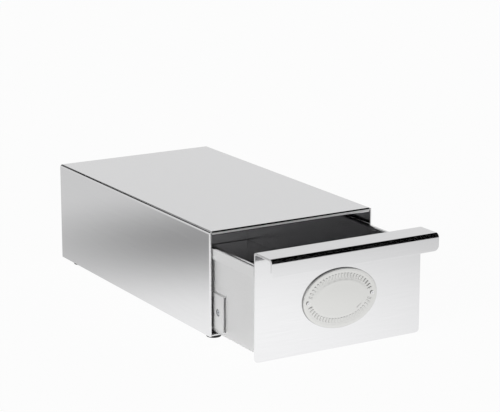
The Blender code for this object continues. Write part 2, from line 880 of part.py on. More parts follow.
def make_rod():
    """A round rod whose ends are milled flat on both sides, to lie in the cradles' slots."""
    length = 2 * (bin_inner_half - bar_rod_end_gap)
    bm = bmesh.new()
    bmesh.ops.create_cone(bm, cap_ends=True, segments=foot_steps, radius1=bar_rod_radius,
                          radius2=bar_rod_radius, depth=length, matrix=axis_turns["X"])
    rod = add_object("knock_bar_rod", to_mesh(bm, "knock_bar_rod"), polished_steel,
                     (0.0, bar_place, bar_height))
    smooth(rod)
    reach = bar_rod_radius + cut_overrun
    for side_name, side in sides.items():
        low_x, high_x = side_limits(side, tongue_start_half, length / 2 + cut_overrun)
        for face in (-1, 1):
            low_y, high_y = side_limits(face, bar_tongue_thickness / 2, reach)
            low = (low_x, bar_place + low_y, bar_height - reach)
            high = (high_x, bar_place + high_y, bar_height + reach)
            cut(rod, block_cutter(f"tongue_{side_name}_{face}", low, high))
    return rod


def make_sleeve():
    """A thick rubber tube with rounded ends and a groove near each end."""
    bore = bar_rod_radius + hole_gap
    outer = bar_sleeve_radius
    edge = bar_sleeve_edge_radius
    groove = outer - bar_sleeve_groove_depth
    start = sleeve_half - bar_sleeve_groove_inset
    end = start - bar_sleeve_groove_width
    upper = [(bore, sleeve_half)]
    upper += arc((outer - edge, sleeve_half - edge), edge, quarter_turn, 0.0, bend_steps - 1)
    upper += [(outer, start), (groove, start), (groove, end), (outer, end)]
    lower = [(radius, -height) for radius, height in reversed(upper)]
    profile = upper + lower + [upper[0]]
    sleeve = turned_object("knock_bar_sleeve", profile, sleeve_steps, black_rubber)
    sleeve.location = (0.0, bar_place, bar_height)
    sleeve.rotation_euler = (0.0, quarter_turn, 0.0)
    return sleeve


def make_badge():
    """An oval plate with a raised rim, a sunk border ring and a slightly raised middle."""
    half_x = badge_width / 2
    half_z = badge_height / 2
    bm = bmesh.new()
    bmesh.ops.create_circle(bm, cap_ends=True, segments=oval_sides, radius=1.0,
                            matrix=Matrix.Diagonal((half_x, half_z, 1.0, 1.0)))
    face = bm.faces[:][0]
    if face.normal.z < 0:
        bmesh.ops.reverse_faces(bm, faces=[face])
    raised = bmesh.ops.extrude_face_region(bm, geom=[face])["geom"]
    verts = [item for item in raised if isinstance(item, bmesh.types.BMVert)]
    bmesh.ops.translate(bm, vec=(0.0, 0.0, badge_thickness), verts=verts)
    bmesh.ops.recalc_face_normals(bm, faces=bm.faces[:])
    field = max(bm.faces, key=lambda f: f.calc_center_median().z)
    steps = [(badge_rim_width, 0.0), (badge_step_width, -badge_field_sink),
             (badge_border_width, 0.0), (badge_step_width, badge_middle_rise)]
    for inset, rise in steps:
        bmesh.ops.inset_region(bm, faces=[field], thickness=inset, use_even_offset=True)
        bmesh.ops.translate(bm, vec=(0.0, 0.0, rise), verts=field.verts[:])
    badge = add_object("badge_plate", to_mesh(bm, "badge_plate"), satin_badge,
                       (0.0, panel_front - seat_gap, badge_centre_height))
    badge.rotation_euler = (quarter_turn, 0.0, 0.0)
    holes = [(side * badge_pin_spacing / 2, 0.0, 0.0) for side in sides.values()]
    cutter = round_cutter("badge_pin_holes", holes, "Z", badge_pin_radius + hole_gap,
                          badge_thickness * 3)
    cutter.location = badge.location
    cutter.rotation_euler = badge.rotation_euler
    cut(badge, cutter)
    smooth(badge)
    return badge


def make_badge_pins():
    field = badge_thickness - badge_field_sink
    shank = field + seat_gap + panel_gauge
    one = headed_screw("pin", badge_pin_head_radius, badge_pin_head_height, badge_pin_radius,
                       shank, True, polished_steel)
    face = panel_front - seat_gap - field - seat_gap / 2
    turn = Matrix.Rotation(quarter_turn, 4, "X")
    across = badge_pin_spacing / 2
    return place_copies(one, {
        "badge_pin_" + side_name:
            Matrix.Translation((side * across, face, badge_centre_height)) @ turn
        for side_name, side in sides.items()})


def make_drawer():
    """Everything that slides, parented to an empty on the slide's line."""
    made = [make_frame(), make_front_panel(), make_bin(), make_rod(), make_sleeve(),
            make_badge(), *make_panel_nuts(), *make_badge_pins()]
    for side_name in sides:
        made += [make_rail(side_name), make_shoe(side_name), make_cradle(side_name),
                 *make_rail_screws(side_name)]
    slide = bpy.data.objects.new("drawer_slide", None)
    parts.objects.link(slide)
    slide.location = (0.0, panel_back, rail_bottom_height + rail_height / 2)
    bpy.context.view_layer.update()
    for obj in made:
        obj.parent = slide
        obj.matrix_parent_inverse = slide.matrix_world.inverted()


make_cabinet()
make_drawer()
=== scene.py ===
"""Coffee knock drawer: its finishes, its finely modelled pieces and a plain studio.

The frame is loaded first. It holds every piece at its real place and size, in metres, with the
drawer's front towards -Y. Each new piece takes its place from the frame's own pieces.
"""
import json
import math

import bpy
from mathutils import Matrix, Vector


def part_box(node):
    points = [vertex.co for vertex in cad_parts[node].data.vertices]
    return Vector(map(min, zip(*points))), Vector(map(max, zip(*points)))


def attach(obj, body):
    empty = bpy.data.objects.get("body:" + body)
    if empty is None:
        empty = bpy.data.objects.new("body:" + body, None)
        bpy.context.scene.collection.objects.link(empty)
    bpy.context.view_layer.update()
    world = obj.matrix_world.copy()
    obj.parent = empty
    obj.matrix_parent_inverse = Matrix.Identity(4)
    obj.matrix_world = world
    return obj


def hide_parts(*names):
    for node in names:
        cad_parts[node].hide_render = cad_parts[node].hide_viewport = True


bl_info = {
    "name": "Coffee Knock Drawer",
    "version": (1, 0, 0),
    "blender": (4, 5, 0),
    "location": "View3D > Sidebar > Knock Drawer",
    "description": "Builds the finishes, the fine pieces and the studio of a coffee knock drawer",
    "category": "Object",
}

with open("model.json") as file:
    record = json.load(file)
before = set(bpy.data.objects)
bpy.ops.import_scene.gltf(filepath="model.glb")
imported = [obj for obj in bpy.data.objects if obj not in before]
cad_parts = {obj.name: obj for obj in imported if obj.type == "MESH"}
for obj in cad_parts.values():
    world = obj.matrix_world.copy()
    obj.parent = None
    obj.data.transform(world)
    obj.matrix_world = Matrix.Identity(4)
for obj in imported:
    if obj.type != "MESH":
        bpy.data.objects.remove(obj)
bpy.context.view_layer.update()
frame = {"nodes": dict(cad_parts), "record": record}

MM = 0.001
SIDES = {"left": -1, "right": 1}
ORIGIN = (0.0, 0.0, 0.0)
UP = Vector((0.0, 0.0, 1.0))

# Two places that are nearer than this are one
TOUCH = 0.02 * MM
# A corner that is less than this outside a box still counts as inside it
BOX_ROOM = 0.05 * MM
# A tool that cuts through a piece stands past it by this much
CUT_PAST = 1.0 * MM
# Bevels can leave faces narrower than this, which are dissolved
SLIVER = 0.002 * MM
# The least share of a face's normal along an axis for the face to face that way
FACING = 0.95

# Edges blunter than this are shaded smooth
SMOOTH_ANGLE = math.radians(32)
# Edges sharper than this are rounded when a piece is deburred
DEBURR_ANGLE = math.radians(50)
# Seams flatter than this, which a cut leaves, are dissolved
FLAT_ANGLE = math.radians(0.5)

# How many sides round shapes have
HEXAGON = 6
STUD_SIDES = 24
BAR_SIDES = 32
FOOT_SIDES = 48
SLEEVE_SIDES = 56
OVAL_SIDES = 96

# How many steps a rounding has
CHAMFER = 1
DEBURR_STEPS = 2
RIM_STEPS = 4
EDGE_STEPS = 5
CORNER_STEPS = 6
BEND_STEPS = 8


# Settings that a user would change

class KnockDrawerStage(bpy.types.PropertyGroup):
    """The camera, the light and what metal mirrors around the drawer."""
    camera_place: bpy.props.FloatVectorProperty(
        name="Camera place", description="Where the camera stands",
        default=(-0.9530, -1.6380, 0.5780), subtype="TRANSLATION", unit="LENGTH")
    camera_turn: bpy.props.FloatProperty(
        name="Camera turn", description="How far the camera looks to the right of straight ahead",
        default=math.radians(30.65), subtype="ANGLE")
    camera_tilt: bpy.props.FloatProperty(
        name="Camera tilt", description="How far the camera looks down",
        default=math.radians(14.18), subtype="ANGLE")
    camera_lens: bpy.props.FloatProperty(
        name="Lens", description="Focal length on a 36 mm wide sensor",
        default=134.6, unit="CAMERA")
    floor_size: bpy.props.FloatProperty(
        name="Floor size", description="Width and depth of the floor",
        default=14.0, unit="LENGTH")
    floor_colour: bpy.props.StringProperty(
        name="Floor colour", description="Colour of the floor, as an sRGB hex value",
        default="F4F4F4")
    floor_whiteness: bpy.props.FloatProperty(
        name="Floor whiteness", description="How much of the floor's own shade the camera loses",
        default=0.96, subtype="FACTOR")
    # The floor's glow in metal is painted light: a pool brighter than white before the drawer, dimmer
    # beside it
    floor_near: bpy.props.FloatProperty(
        name="Floor in front", description="How bright the floor before the drawer is in metal",
        default=1.15)
    floor_far: bpy.props.FloatProperty(
        name="Floor beside", description="How bright the floor elsewhere is in metal",
        default=0.72)
    bright_place: bpy.props.FloatVectorProperty(
        name="Bright patch", description="Middle of the brightest floor, which the front mirrors",
        default=(-0.10, -0.30, 0.0), subtype="TRANSLATION", unit="LENGTH")
    bright_reach: bpy.props.FloatProperty(
        name="Bright reach", description="How far from its middle the bright patch fades out",
        default=0.62, unit="LENGTH")
    # A painted shade patch in the floor's glow, which only metal mirrors, darkening the drawer's left
    # side
    painted_shade_place: bpy.props.FloatVectorProperty(
        name="Grey card", description="Middle of the soft grey card that the left side mirrors",
        default=(-0.266, 0.218, 0.0), subtype="TRANSLATION", unit="LENGTH")
    painted_shade_reach: bpy.props.FloatProperty(
        name="Card reach", description="How far from its middle the grey card fades out",
        default=0.27, unit="LENGTH")
    painted_shade_level: bpy.props.FloatProperty(
        name="Card level", description="How much light the grey card leaves", default=0.50)
    sky_level: bpy.props.FloatProperty(
        name="Sky level", description="Strength of the soft light from all round", default=0.12)
    softbox_level: bpy.props.FloatProperty(
        name="Softbox level", description="Strength of the softbox on the left", default=7.2)
    softbox_way: bpy.props.FloatVectorProperty(
        name="Softbox direction", description="Direction from the drawer to the softbox",
        default=(-0.85, -0.42, 0.32), subtype="DIRECTION")
    softbox_core: bpy.props.FloatProperty(
        name="Softbox core", description="Half the angle of the softbox's full light",
        default=math.radians(12), subtype="ANGLE")
    softbox_reach: bpy.props.FloatProperty(
        name="Softbox reach", description="Half the angle at which the softbox has faded out",
        default=math.radians(22), subtype="ANGLE")
    mirror_level: bpy.props.FloatProperty(
        name="Backdrop level", description="How bright the backdrop is where metal mirrors it",
        default=0.78)
    deep_level: bpy.props.FloatProperty(
        name="Deep level", description="How bright all is in a mirror that another mirror shows",
        default=0.36)
    lip_flag_low: bpy.props.FloatVectorProperty(
        name="Lip flag from", description="Lowest direction of the black flag over the lip's bend",
        default=(0.40, -1.20, -0.10))
    lip_flag_high: bpy.props.FloatVectorProperty(
        name="Lip flag to", description="Highest direction of the black flag over the lip's bend",
        default=(0.66, 0.70, 1.20))
    lip_flag_depth: bpy.props.FloatProperty(
        name="Lip flag depth", description="How dark the flag over the lip's bend is", default=1.0)
    side_flag_low: bpy.props.FloatVectorProperty(
        name="Side flag from", description="Lowest direction of the flag over the side's bend",
        default=(-0.62, 0.76, 0.36))
    side_flag_high: bpy.props.FloatVectorProperty(
        name="Side flag to", description="Highest direction of the flag over the side's bend",
        default=(0.45, 0.90, 0.62))
    side_flag_depth: bpy.props.FloatProperty(
        name="Side flag depth", description="How dark the flag over the side's bend is", default=1.0)
    flag_softness: bpy.props.FloatProperty(
        name="Flag softness", description="How softly the flags' edges fall off", default=0.02)


class KnockDrawerFinish(bpy.types.PropertyGroup):
    """Colours, as sRGB hex values, and the grain of the steel."""
    steel_colour: bpy.props.StringProperty(
        name="Steel", description="Colour of the polished stainless sheet", default="EDEDEE")
    satin_colour: bpy.props.StringProperty(
        name="Satin steel", description="Colour of the satin stainless sheet", default="E9E9E9")
    edge_colour: bpy.props.StringProperty(
        name="Ground edge", description="Colour of the cabinet's and the rim's ground edges",
        default="EFEFEF")
    matt_colour: bpy.props.StringProperty(
        name="Matt steel", description="Colour of the blasted sheet of the drawer frame",
        default="ECECEC")
    zinc_colour: bpy.props.StringProperty(
        name="Zinc", description="Colour of the zinc-plated screws and nuts", default="CCCED2")
    rubber_colour: bpy.props.StringProperty(
        name="Rubber", description="Colour of the feet and of the bar's sleeve", default="1A1A1B")
    nylon_colour: bpy.props.StringProperty(
        name="Nylon", description="Colour of the pads and shoes", default="E8E6DC")
    badge_colour: bpy.props.StringProperty(
        name="Badge", description="Colour of the pressed oval plate", default="E0E0DE")
    grain_width: bpy.props.FloatProperty(
        name="Grain width", description="Width of one stroke of the steel's grain",
        default=0.0006, unit="LENGTH")
    sheet_wave: bpy.props.FloatProperty(
        name="Sheet wave", description="Length of the slight waves that rolling leaves in sheet",
        default=0.045, unit="LENGTH")


class KnockDrawerSheet(bpy.types.PropertyGroup):
    """Gauges and bend radii of the folded sheets, as their maker would set them."""
    shell_gauge: bpy.props.FloatProperty(
        name="Shell gauge", description="Thickness of the cabinet's sheet",
        default=0.0020, unit="LENGTH")
    shell_bend: bpy.props.FloatProperty(
        name="Shell bend", description="Outer radius of the cabinet's two long bends",
        default=0.0030, unit="LENGTH")
    hem_height: bpy.props.FloatProperty(
        name="Hem height", description="Thickness of the turned-in edge under the cabinet's front",
        default=0.0023, unit="LENGTH")
    hem_depth: bpy.props.FloatProperty(
        name="Hem depth", description="How far the turned-in edge reaches back",
        default=0.0080, unit="LENGTH")
    front_rounding: bpy.props.FloatProperty(
        name="Front rounding", description="Radius along the outer front edge of the shell",
        default=0.0015, unit="LENGTH")
    hem_rounding: bpy.props.FloatProperty(
        name="Hem rounding", description="Radius along the lower front edge of the hem",
        default=0.0010, unit="LENGTH")
    panel_gauge: bpy.props.FloatProperty(
        name="Panel gauge", description="Thickness of the drawer's front panel",
        default=0.0020, unit="LENGTH")
    panel_back_bend: bpy.props.FloatProperty(
        name="Panel bend", description="Outer radius where the panel folds over into the lip",
        default=0.0026, unit="LENGTH")
    lip_bend: bpy.props.FloatProperty(
        name="Lip bend", description="Outer radius where the lip folds down",
        default=0.0045, unit="LENGTH")
    lip_drop: bpy.props.FloatProperty(
        name="Lip drop", description="Height of the lip's hanging edge",
        default=0.0175, unit="LENGTH")
    panel_corner: bpy.props.FloatProperty(
        name="Panel corner", description="Radius of the panel's lower corners",
        default=0.0040, unit="LENGTH")
    lip_corner: bpy.props.FloatProperty(
        name="Lip corner", description="Radius of the lower corners of the lip",
        default=0.0055, unit="LENGTH")
    stud_radius: bpy.props.FloatProperty(
        name="Stud radius", description="Radius of the studs welded behind the front panel",
        default=0.0020, unit="LENGTH")
    frame_gauge: bpy.props.FloatProperty(
        name="Frame gauge", description="Thickness of the drawer frame's sheet",
        default=0.0010, unit="LENGTH")
    frame_corner: bpy.props.FloatProperty(
        name="Frame corner", description="Inner radius of the drawer frame's upright corners",
        default=0.0020, unit="LENGTH")
    frame_floor_bend: bpy.props.FloatProperty(
        name="Frame floor bend", description="Inner radius round the drawer frame's floor",
        default=0.0018, unit="LENGTH")
    notch_below_rim: bpy.props.FloatProperty(
        name="Front notch", description="How far the frame's front ends below the bin's rim",
        default=0.0015, unit="LENGTH")
    bin_gauge: bpy.props.FloatProperty(
        name="Bin gauge", description="Thickness of the waste bin's sheet",
        default=0.0008, unit="LENGTH")
    bin_corner: bpy.props.FloatProperty(
        name="Bin corner", description="Inner radius of the bin's upright corners",
        default=0.0010, unit="LENGTH")
    bin_floor_bend: bpy.props.FloatProperty(
        name="Bin floor bend", description="Inner radius round the bin's floor",
        default=0.0008, unit="LENGTH")
    rim_width: bpy.props.FloatProperty(
        name="Rim width", description="Width of the bin's flat rim",
        default=0.0053, unit="LENGTH")
    rim_drop: bpy.props.FloatProperty(
        name="Rim drop", description="How far the bin's rim hangs down outside",
        default=0.0123, unit="LENGTH")
    rim_bend: bpy.props.FloatProperty(
        name="Rim bend", description="Radius of the rim's two folds",
        default=0.0015, unit="LENGTH")
    plate_gauge: bpy.props.FloatProperty(
        name="Plate gauge", description="Thickness of the bottom plate and the brackets",
        default=0.0015, unit="LENGTH")
    plate_bend: bpy.props.FloatProperty(
        name="Plate bend", description="Outer radius of the bends in plate and brackets",
        default=0.0020, unit="LENGTH")
    rear_corner: bpy.props.FloatProperty(
        name="Rear corner", description="Radius of the rear panel's corners",
        default=0.0030, unit="LENGTH")
    rail_gauge: bpy.props.FloatProperty(
        name="Rail gauge", description="Thickness of the folded slide rails",
        default=0.0013, unit="LENGTH")
    channel_gauge: bpy.props.FloatProperty(
        name="Channel gauge", description="Thickness of the guide channels",
        default=0.0008, unit="LENGTH")
    slide_bend: bpy.props.FloatProperty(
        name="Slide bend", description="Outer radius of the bends in rails and channels",
        default=0.0010, unit="LENGTH")
    cradle_corner: bpy.props.FloatProperty(
        name="Cradle corner", description="Radius of the lower corners of the slotted plates",
        default=0.0030, unit="LENGTH")
    cradle_slot: bpy.props.FloatProperty(
        name="Cradle slot", description="Width of the slot that the knock bar's end lies in",
        default=0.0040, unit="LENGTH")
    panel_edge: bpy.props.FloatProperty(
        name="Panel edge", description="Rounding of the front panel's polished edges",
        default=0.0006, unit="LENGTH")
    cut_edge: bpy.props.FloatProperty(
        name="Cut edge", description="Rounding of the deburred edges of thick sheet",
        default=0.00025, unit="LENGTH")
    fit_gap: bpy.props.FloatProperty(
        name="Fit gap", description="Clearance between pieces that seat on each other",
        default=0.0003, unit="LENGTH")


class KnockDrawerTurned(bpy.types.PropertyGroup):
    """Screws, nuts, feet and the knock bar."""
    head_height: bpy.props.FloatProperty(
        name="Head height", description="Height of the rear screws' domed heads",
        default=0.0016, unit="LENGTH")
    rail_head_height: bpy.props.FloatProperty(
        name="Rail head height", description="Height of the rail screws' heads",
        default=0.0012, unit="LENGTH")
    rail_head_room: bpy.props.FloatProperty(
        name="Rail head room", description="Depth left free under the rail screws' heads",
        default=0.0002, unit="LENGTH")
    foot_head_height: bpy.props.FloatProperty(
        name="Foot head height", description="Height of the foot screws' flat heads",
        default=0.0009, unit="LENGTH")
    pin_head_height: bpy.props.FloatProperty(
        name="Pin head height", description="Height of the round heads of the oval plate's pins",
        default=0.0010, unit="LENGTH")
    shank_radius: bpy.props.FloatProperty(
        name="Shank radius", description="Radius of the screws' shanks",
        default=0.0015, unit="LENGTH")
    pin_shank_radius: bpy.props.FloatProperty(
        name="Pin shank radius", description="Radius of the pins' shanks",
        default=0.0010, unit="LENGTH")
    pin_hole_radius: bpy.props.FloatProperty(
        name="Pin hole radius", description="Radius of the small hole in the pins' heads",
        default=0.0008, unit="LENGTH")
    socket_radius: bpy.props.FloatProperty(
        name="Socket radius", description="Radius of the screws' hexagonal sockets",
        default=0.0012, unit="LENGTH")
    socket_depth: bpy.props.FloatProperty(
        name="Socket depth", description="Depth of the screws' hexagonal sockets",
        default=0.0008, unit="LENGTH")
    foot_socket_depth: bpy.props.FloatProperty(
        name="Foot socket depth", description="Depth of the foot screws' sockets",
        default=0.0005, unit="LENGTH")
    nut_edge: bpy.props.FloatProperty(
        name="Nut edge", description="Chamfer along the nuts' edges",
        default=0.0003, unit="LENGTH")
    foot_edge: bpy.props.FloatProperty(
        name="Foot edge", description="Rounding of the rubber feet's lower edge",
        default=0.0008, unit="LENGTH")
    foot_recess: bpy.props.FloatProperty(
        name="Foot recess", description="Depth of the feet's recess for the screw's head",
        default=0.0016, unit="LENGTH")
    dimple_radius: bpy.props.FloatProperty(
        name="Dimple radius", description="Radius of the dimples that seat the rail's screws",
        default=0.0044, unit="LENGTH")
    sleeve_edge: bpy.props.FloatProperty(
        name="Sleeve edge", description="Rounding of the rubber sleeve's ends",
        default=0.0020, unit="LENGTH")
    groove_inset: bpy.props.FloatProperty(
        name="Groove inset", description="Distance from the sleeve's end to its groove",
        default=0.0100, unit="LENGTH")
    groove_width: bpy.props.FloatProperty(
        name="Groove width", description="Width of the sleeve's grooves",
        default=0.0020, unit="LENGTH")
    groove_depth: bpy.props.FloatProperty(
        name="Groove depth", description="Depth of the sleeve's grooves",
        default=0.0010, unit="LENGTH")


class KnockDrawerBadge(bpy.types.PropertyGroup):
    """The oval plate's plain pressed rings."""
    rim: bpy.props.FloatProperty(
        name="Rim", description="Width of the raised outer rim", default=0.0025, unit="LENGTH")
    rim_rounding: bpy.props.FloatProperty(
        name="Rim rounding", description="Rounding of the plate's outer edge",
        default=0.0009, unit="LENGTH")
    step: bpy.props.FloatProperty(
        name="Step", description="Width of the slopes between levels", default=0.0010, unit="LENGTH")
    field_sink: bpy.props.FloatProperty(
        name="Field depth", description="Depth of the border below the rim",
        default=0.0009, unit="LENGTH")
    border: bpy.props.FloatProperty(
        name="Border", description="Width of the sunk border", default=0.0080, unit="LENGTH")
    line: bpy.props.FloatProperty(
        name="Line", description="Width of the raised line round the middle",
        default=0.0007, unit="LENGTH")
    rise: bpy.props.FloatProperty(
        name="Rise", description="Height of the raised line, the ribs and the pad",
        default=0.0008, unit="LENGTH")
    pad_inset: bpy.props.FloatProperty(
        name="Pad inset", description="Distance from the raised line to the raised pad in the middle",
        default=0.0035, unit="LENGTH")
    rib_length: bpy.props.FloatProperty(
        name="Rib length", description="Length of the border's small ribs",
        default=0.0046, unit="LENGTH")
    rib_width: bpy.props.FloatProperty(
        name="Rib width", description="Width of the border's small ribs",
        default=0.0016, unit="LENGTH")
    rib_count: bpy.props.IntProperty(
        name="Ribs", description="How many ribs would fill the border", default=52)


def settings(group):
    """The values of one property group."""
    return getattr(bpy.context.scene, "knock_drawer_" + group)


# Modelling by hand, in code

def only(obj):
    """Selects one object and makes it active."""
    bpy.ops.object.select_all(action="DESELECT")
    obj.select_set(True)
    bpy.context.view_layer.objects.active = obj


def place_now(obj, name):
    """Names a new object and moves its place into its mesh, so that it sits at the origin."""
    only(obj)
    obj.name = name
    obj.data.name = name
    bpy.ops.object.transform_apply(location=True, rotation=True, scale=True)
    return obj


def add_box(name, low, high):
    """A box between its lowest and highest corners."""
    bpy.ops.object.select_all(action="DESELECT")
    bpy.ops.mesh.primitive_cube_add(size=1.0, location=(Vector(low) + Vector(high)) / 2)
    box = bpy.context.object
    box.scale = Vector(high) - Vector(low)
    return place_now(box, name)


def turn_from_z(direction):
    """The rotation that points +Z along a direction."""
    return UP.rotation_difference(Vector(direction))


def add_round_bar(name, start, end, radius, sides=BAR_SIDES):
    """A cylinder between two points."""
    run = Vector(end) - Vector(start)
    bpy.ops.object.select_all(action="DESELECT")
    bpy.ops.mesh.primitive_cylinder_add(
        vertices=sides, radius=radius, depth=run.length,
        location=(Vector(start) + Vector(end)) / 2, rotation=turn_from_z(run).to_euler())
    return place_now(bpy.context.object, name)


def pick(obj, kind, test):
    """Goes into edit mode with only those vertices, edges or faces selected that pass a test."""
    only(obj)
    bpy.ops.object.mode_set(mode="EDIT")
    bpy.ops.mesh.select_mode(type=kind)
    bpy.ops.mesh.select_all(action="DESELECT")
    bpy.ops.object.mode_set(mode="OBJECT")
    mesh = obj.data
    groups = {"VERT": mesh.vertices, "EDGE": mesh.edges, "FACE": mesh.polygons}
    for item in groups[kind]:
        if kind == "VERT":
            corners = [item.co]
        else:
            corners = [mesh.vertices[i].co for i in item.vertices]
        item.select = bool(test(corners))
    bpy.ops.object.mode_set(mode="EDIT")


def extrude(step):
    """Extrudes what is selected by a step."""
    bpy.ops.mesh.extrude_region_move(TRANSFORM_OT_translate={"value": step})


def round_off(radius, steps, affect="EDGES"):
    """Rounds the edges or corners that are selected."""
    bpy.ops.mesh.bevel(offset=radius, segments=steps, affect=affect, clamp_overlap=True)


def leave_edit():
    """Goes back to object mode."""
    bpy.ops.object.mode_set(mode="OBJECT")


def soften(obj, kind, test, radius, steps):
    """Rounds the edges or corners that pass a test."""
    pick(obj, kind, test)
    round_off(radius, steps, "VERTICES" if kind == "VERT" else "EDGES")
    leave_edit()


def apply_modifier(obj, kind, **options):
    """Adds a modifier with its options and applies it."""
    only(obj)
    modifier = obj.modifiers.new(kind.lower(), kind)
    for option, value in options.items():
        setattr(modifier, option, value)
    bpy.ops.object.modifier_apply(modifier=modifier.name)


def shade_bends(obj):
    """Shades bends and round faces smooth, and keeps flat faces flat and true corners sharp."""
    only(obj)
    bpy.ops.object.shade_smooth_by_angle(angle=SMOOTH_ANGLE)
    apply_modifier(obj, "WEIGHTED_NORMAL", keep_sharp=True)


def deburr(obj, width, steps=DEBURR_STEPS):
    """Rounds all sharp edges a little and shades the piece."""
    apply_modifier(obj, "BEVEL", width=width, segments=steps, limit_method="ANGLE",
                   angle_limit=DEBURR_ANGLE)
    pick(obj, "FACE", every)
    bpy.ops.mesh.dissolve_degenerate(threshold=SLIVER)
    leave_edit()
    shade_bends(obj)


def thicken(obj, gauge, edge, offset=1.0):
    """Gives a folded skin its gauge and rounds its cut edges."""
    apply_modifier(obj, "SOLIDIFY", thickness=gauge, offset=offset, use_even_offset=True)
    if edge > 0:
        deburr(obj, edge)


def near(value, target):
    """Whether a coordinate is at a target."""
    return abs(value - target) < TOUCH


def every(corners):
    """A test that all items pass."""
    return True


def level_at(height):
    """A test for items that lie wholly at one height."""
    return lambda corners: all(near(v.z, height) for v in corners)


def folded_skin(name, axis, start, end, points, radii, steps=BEND_STEPS):
    """A skin folded along points in the plane across an axis, and run from start to end."""
    def spot(along, point):
        if axis == "X":
            return Vector((along, point[0], point[1]))
        return Vector((point[0], along, point[1]))

    first, second = points[0], points[1]
    run = spot(end, first) - spot(start, first)
    leg = spot(start, second) - spot(start, first)
    bpy.ops.object.select_all(action="DESELECT")
    bpy.ops.mesh.primitive_plane_add(size=1.0, location=spot(start, first) + (run + leg) / 2)
    skin = bpy.context.object
    skin.rotation_mode = "QUATERNION"
    skin.rotation_quaternion = turn_to(run, leg)
    skin.scale = (run.length, leg.length, 1.0)
    place_now(skin, name)
    across = [i for i in range(3) if "XYZ"[i] != axis]
    for here, there in zip(points[1:], points[2:]):
        corner = spot(0.0, here)
        pick(skin, "EDGE", lambda ends: all(near(v[i], corner[i]) for v in ends for i in across))
        extrude(spot(0.0, there) - corner)
        leave_edit()
    for here, radius in zip(points[1:-1], radii):
        corner = spot(0.0, here)
        soften(skin, "EDGE", lambda ends: all(near(v[i], corner[i]) for v in ends for i in across),
               radius, steps)
    return skin


def turn_to(run, leg):
    """The rotation that lays a plane's own X along run and its own Y along leg."""
    x_axis = run.normalized()
    y_axis = leg.normalized()
    z_axis = x_axis.cross(y_axis)
    return Matrix((x_axis, y_axis, z_axis)).transposed().to_quaternion()


def join_all(name, pieces):
    """Joins separate objects into one, without a union."""
    only(pieces[0])
    for other in pieces[1:]:
        other.select_set(True)
    if len(pieces) > 1:
        bpy.ops.object.join()
    pieces[0].name = name
    return pieces[0]


def combine(obj, tool, operation):
    """Adds a tool to a piece or cuts it away, then clears the flat seams that this leaves."""
    apply_modifier(obj, "BOOLEAN", operation=operation, solver="EXACT", object=tool)
    bpy.data.objects.remove(tool, do_unlink=True)
    pick(obj, "FACE", every)
    bpy.ops.mesh.dissolve_limited(angle_limit=FLAT_ANGLE)
    leave_edit()


def drill(obj, centres, direction, radius, length, sides=BAR_SIDES):
    """Holes of one size through or into a piece. The drill's middle is at each centre."""
    half = Vector(direction) * length / 2
    drills = [add_round_bar("drill", centre - half, centre + half, radius, sides)
              for centre in centres]
    combine(obj, join_all("drills", drills), "DIFFERENCE")


def rounded_pan(name, low, high, corner, floor_bend, rim=0.0, drop=0.0, rim_bend=0.0):
    """The inner skin of an open box, with an optional rim turned out and down."""
    middle = (Vector(low) + Vector(high)) / 2
    bpy.ops.object.select_all(action="DESELECT")
    bpy.ops.mesh.primitive_plane_add(size=1.0, location=(middle.x, middle.y, high[2]))
    pan = bpy.context.object
    pan.scale = (high[0] - low[0] + 2 * rim, high[1] - low[1] + 2 * rim, 1.0)
    place_now(pan, name)
    pick(pan, "VERT", every)
    round_off(corner + rim, CORNER_STEPS, "VERTICES")
    bpy.ops.mesh.select_all(action="SELECT")
    if rim > 0:
        bpy.ops.mesh.inset(thickness=rim, use_boundary=True, use_even_offset=True)
    extrude((0.0, 0.0, low[2] - high[2]))
    leave_edit()
    if rim == 0:
        pick(pan, "FACE", level_at(high[2]))
        bpy.ops.mesh.delete(type="FACE")
        leave_edit()
    if drop > 0:
        def on_border(ends):
            return all(near(v.z, high[2]) and not inside(v, low, high) for v in ends)
        pick(pan, "EDGE", on_border)
        extrude((0.0, 0.0, -drop))
        leave_edit()
    soften(pan, "EDGE", level_at(low[2]), floor_bend, CORNER_STEPS)
    if drop > 0:
        def on_fold(ends):
            within = [inside(v, low, high) for v in ends]
            return level_at(high[2])(ends) and (all(within) or not any(within))
        soften(pan, "EDGE", on_fold, rim_bend, CORNER_STEPS)
    return pan


def inside(spot, low, high):
    """Whether a point lies within a box seen from above, or on its edge."""
    return all(low[i] - BOX_ROOM <= spot[i] <= high[i] + BOX_ROOM for i in range(2))


def model_screw(name, node, axis, head_height, shank_radius, crown_share, socket_radius,
                socket_depth):
    """A screw or pin about its own Z, head up, with the underside of its head at height 0.

    Its head radius and its whole length are those of a node of the frame, which lies along axis.
    The rounding of its head takes the crown's share of the head's height.
    """
    low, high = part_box(node)
    size = high - low
    along = "XYZ".index(axis)
    head_radius = size[(along + 1) % 3] / 2
    shank_length = size[along] - head_height
    tip_chamfer = shank_radius / 5
    head_top = UP * head_height
    screw = add_round_bar(name, ORIGIN, head_top, head_radius)
    pick(screw, "FACE", level_at(0.0))
    bpy.ops.mesh.inset(thickness=head_radius - shank_radius)
    extrude((0.0, 0.0, -shank_length))
    leave_edit()
    soften(screw, "EDGE", level_at(head_height), head_height * crown_share, EDGE_STEPS)
    soften(screw, "EDGE", level_at(-shank_length), tip_chamfer, CHAMFER)
    drill(screw, [head_top], UP, socket_radius, 2 * socket_depth, HEXAGON)
    shade_bends(screw)
    return screw


def copy_to(source, name, place):
    """A copy of a piece with its own mesh, moved by a matrix."""
    piece = source.copy()
    piece.data = source.data.copy()
    piece.name = name
    piece.data.name = name
    piece.data.transform(place)
    bpy.context.collection.objects.link(piece)
    return piece


def hand_over(piece, body, slot, material_name, *nodes):
    """Finishes a piece, ties it to its body and hides the frame's pieces that it stands for."""
    piece.data.materials.clear()
    piece.data.materials.append(bpy.data.materials[material_name])
    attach(piece, body)
    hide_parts(*nodes)


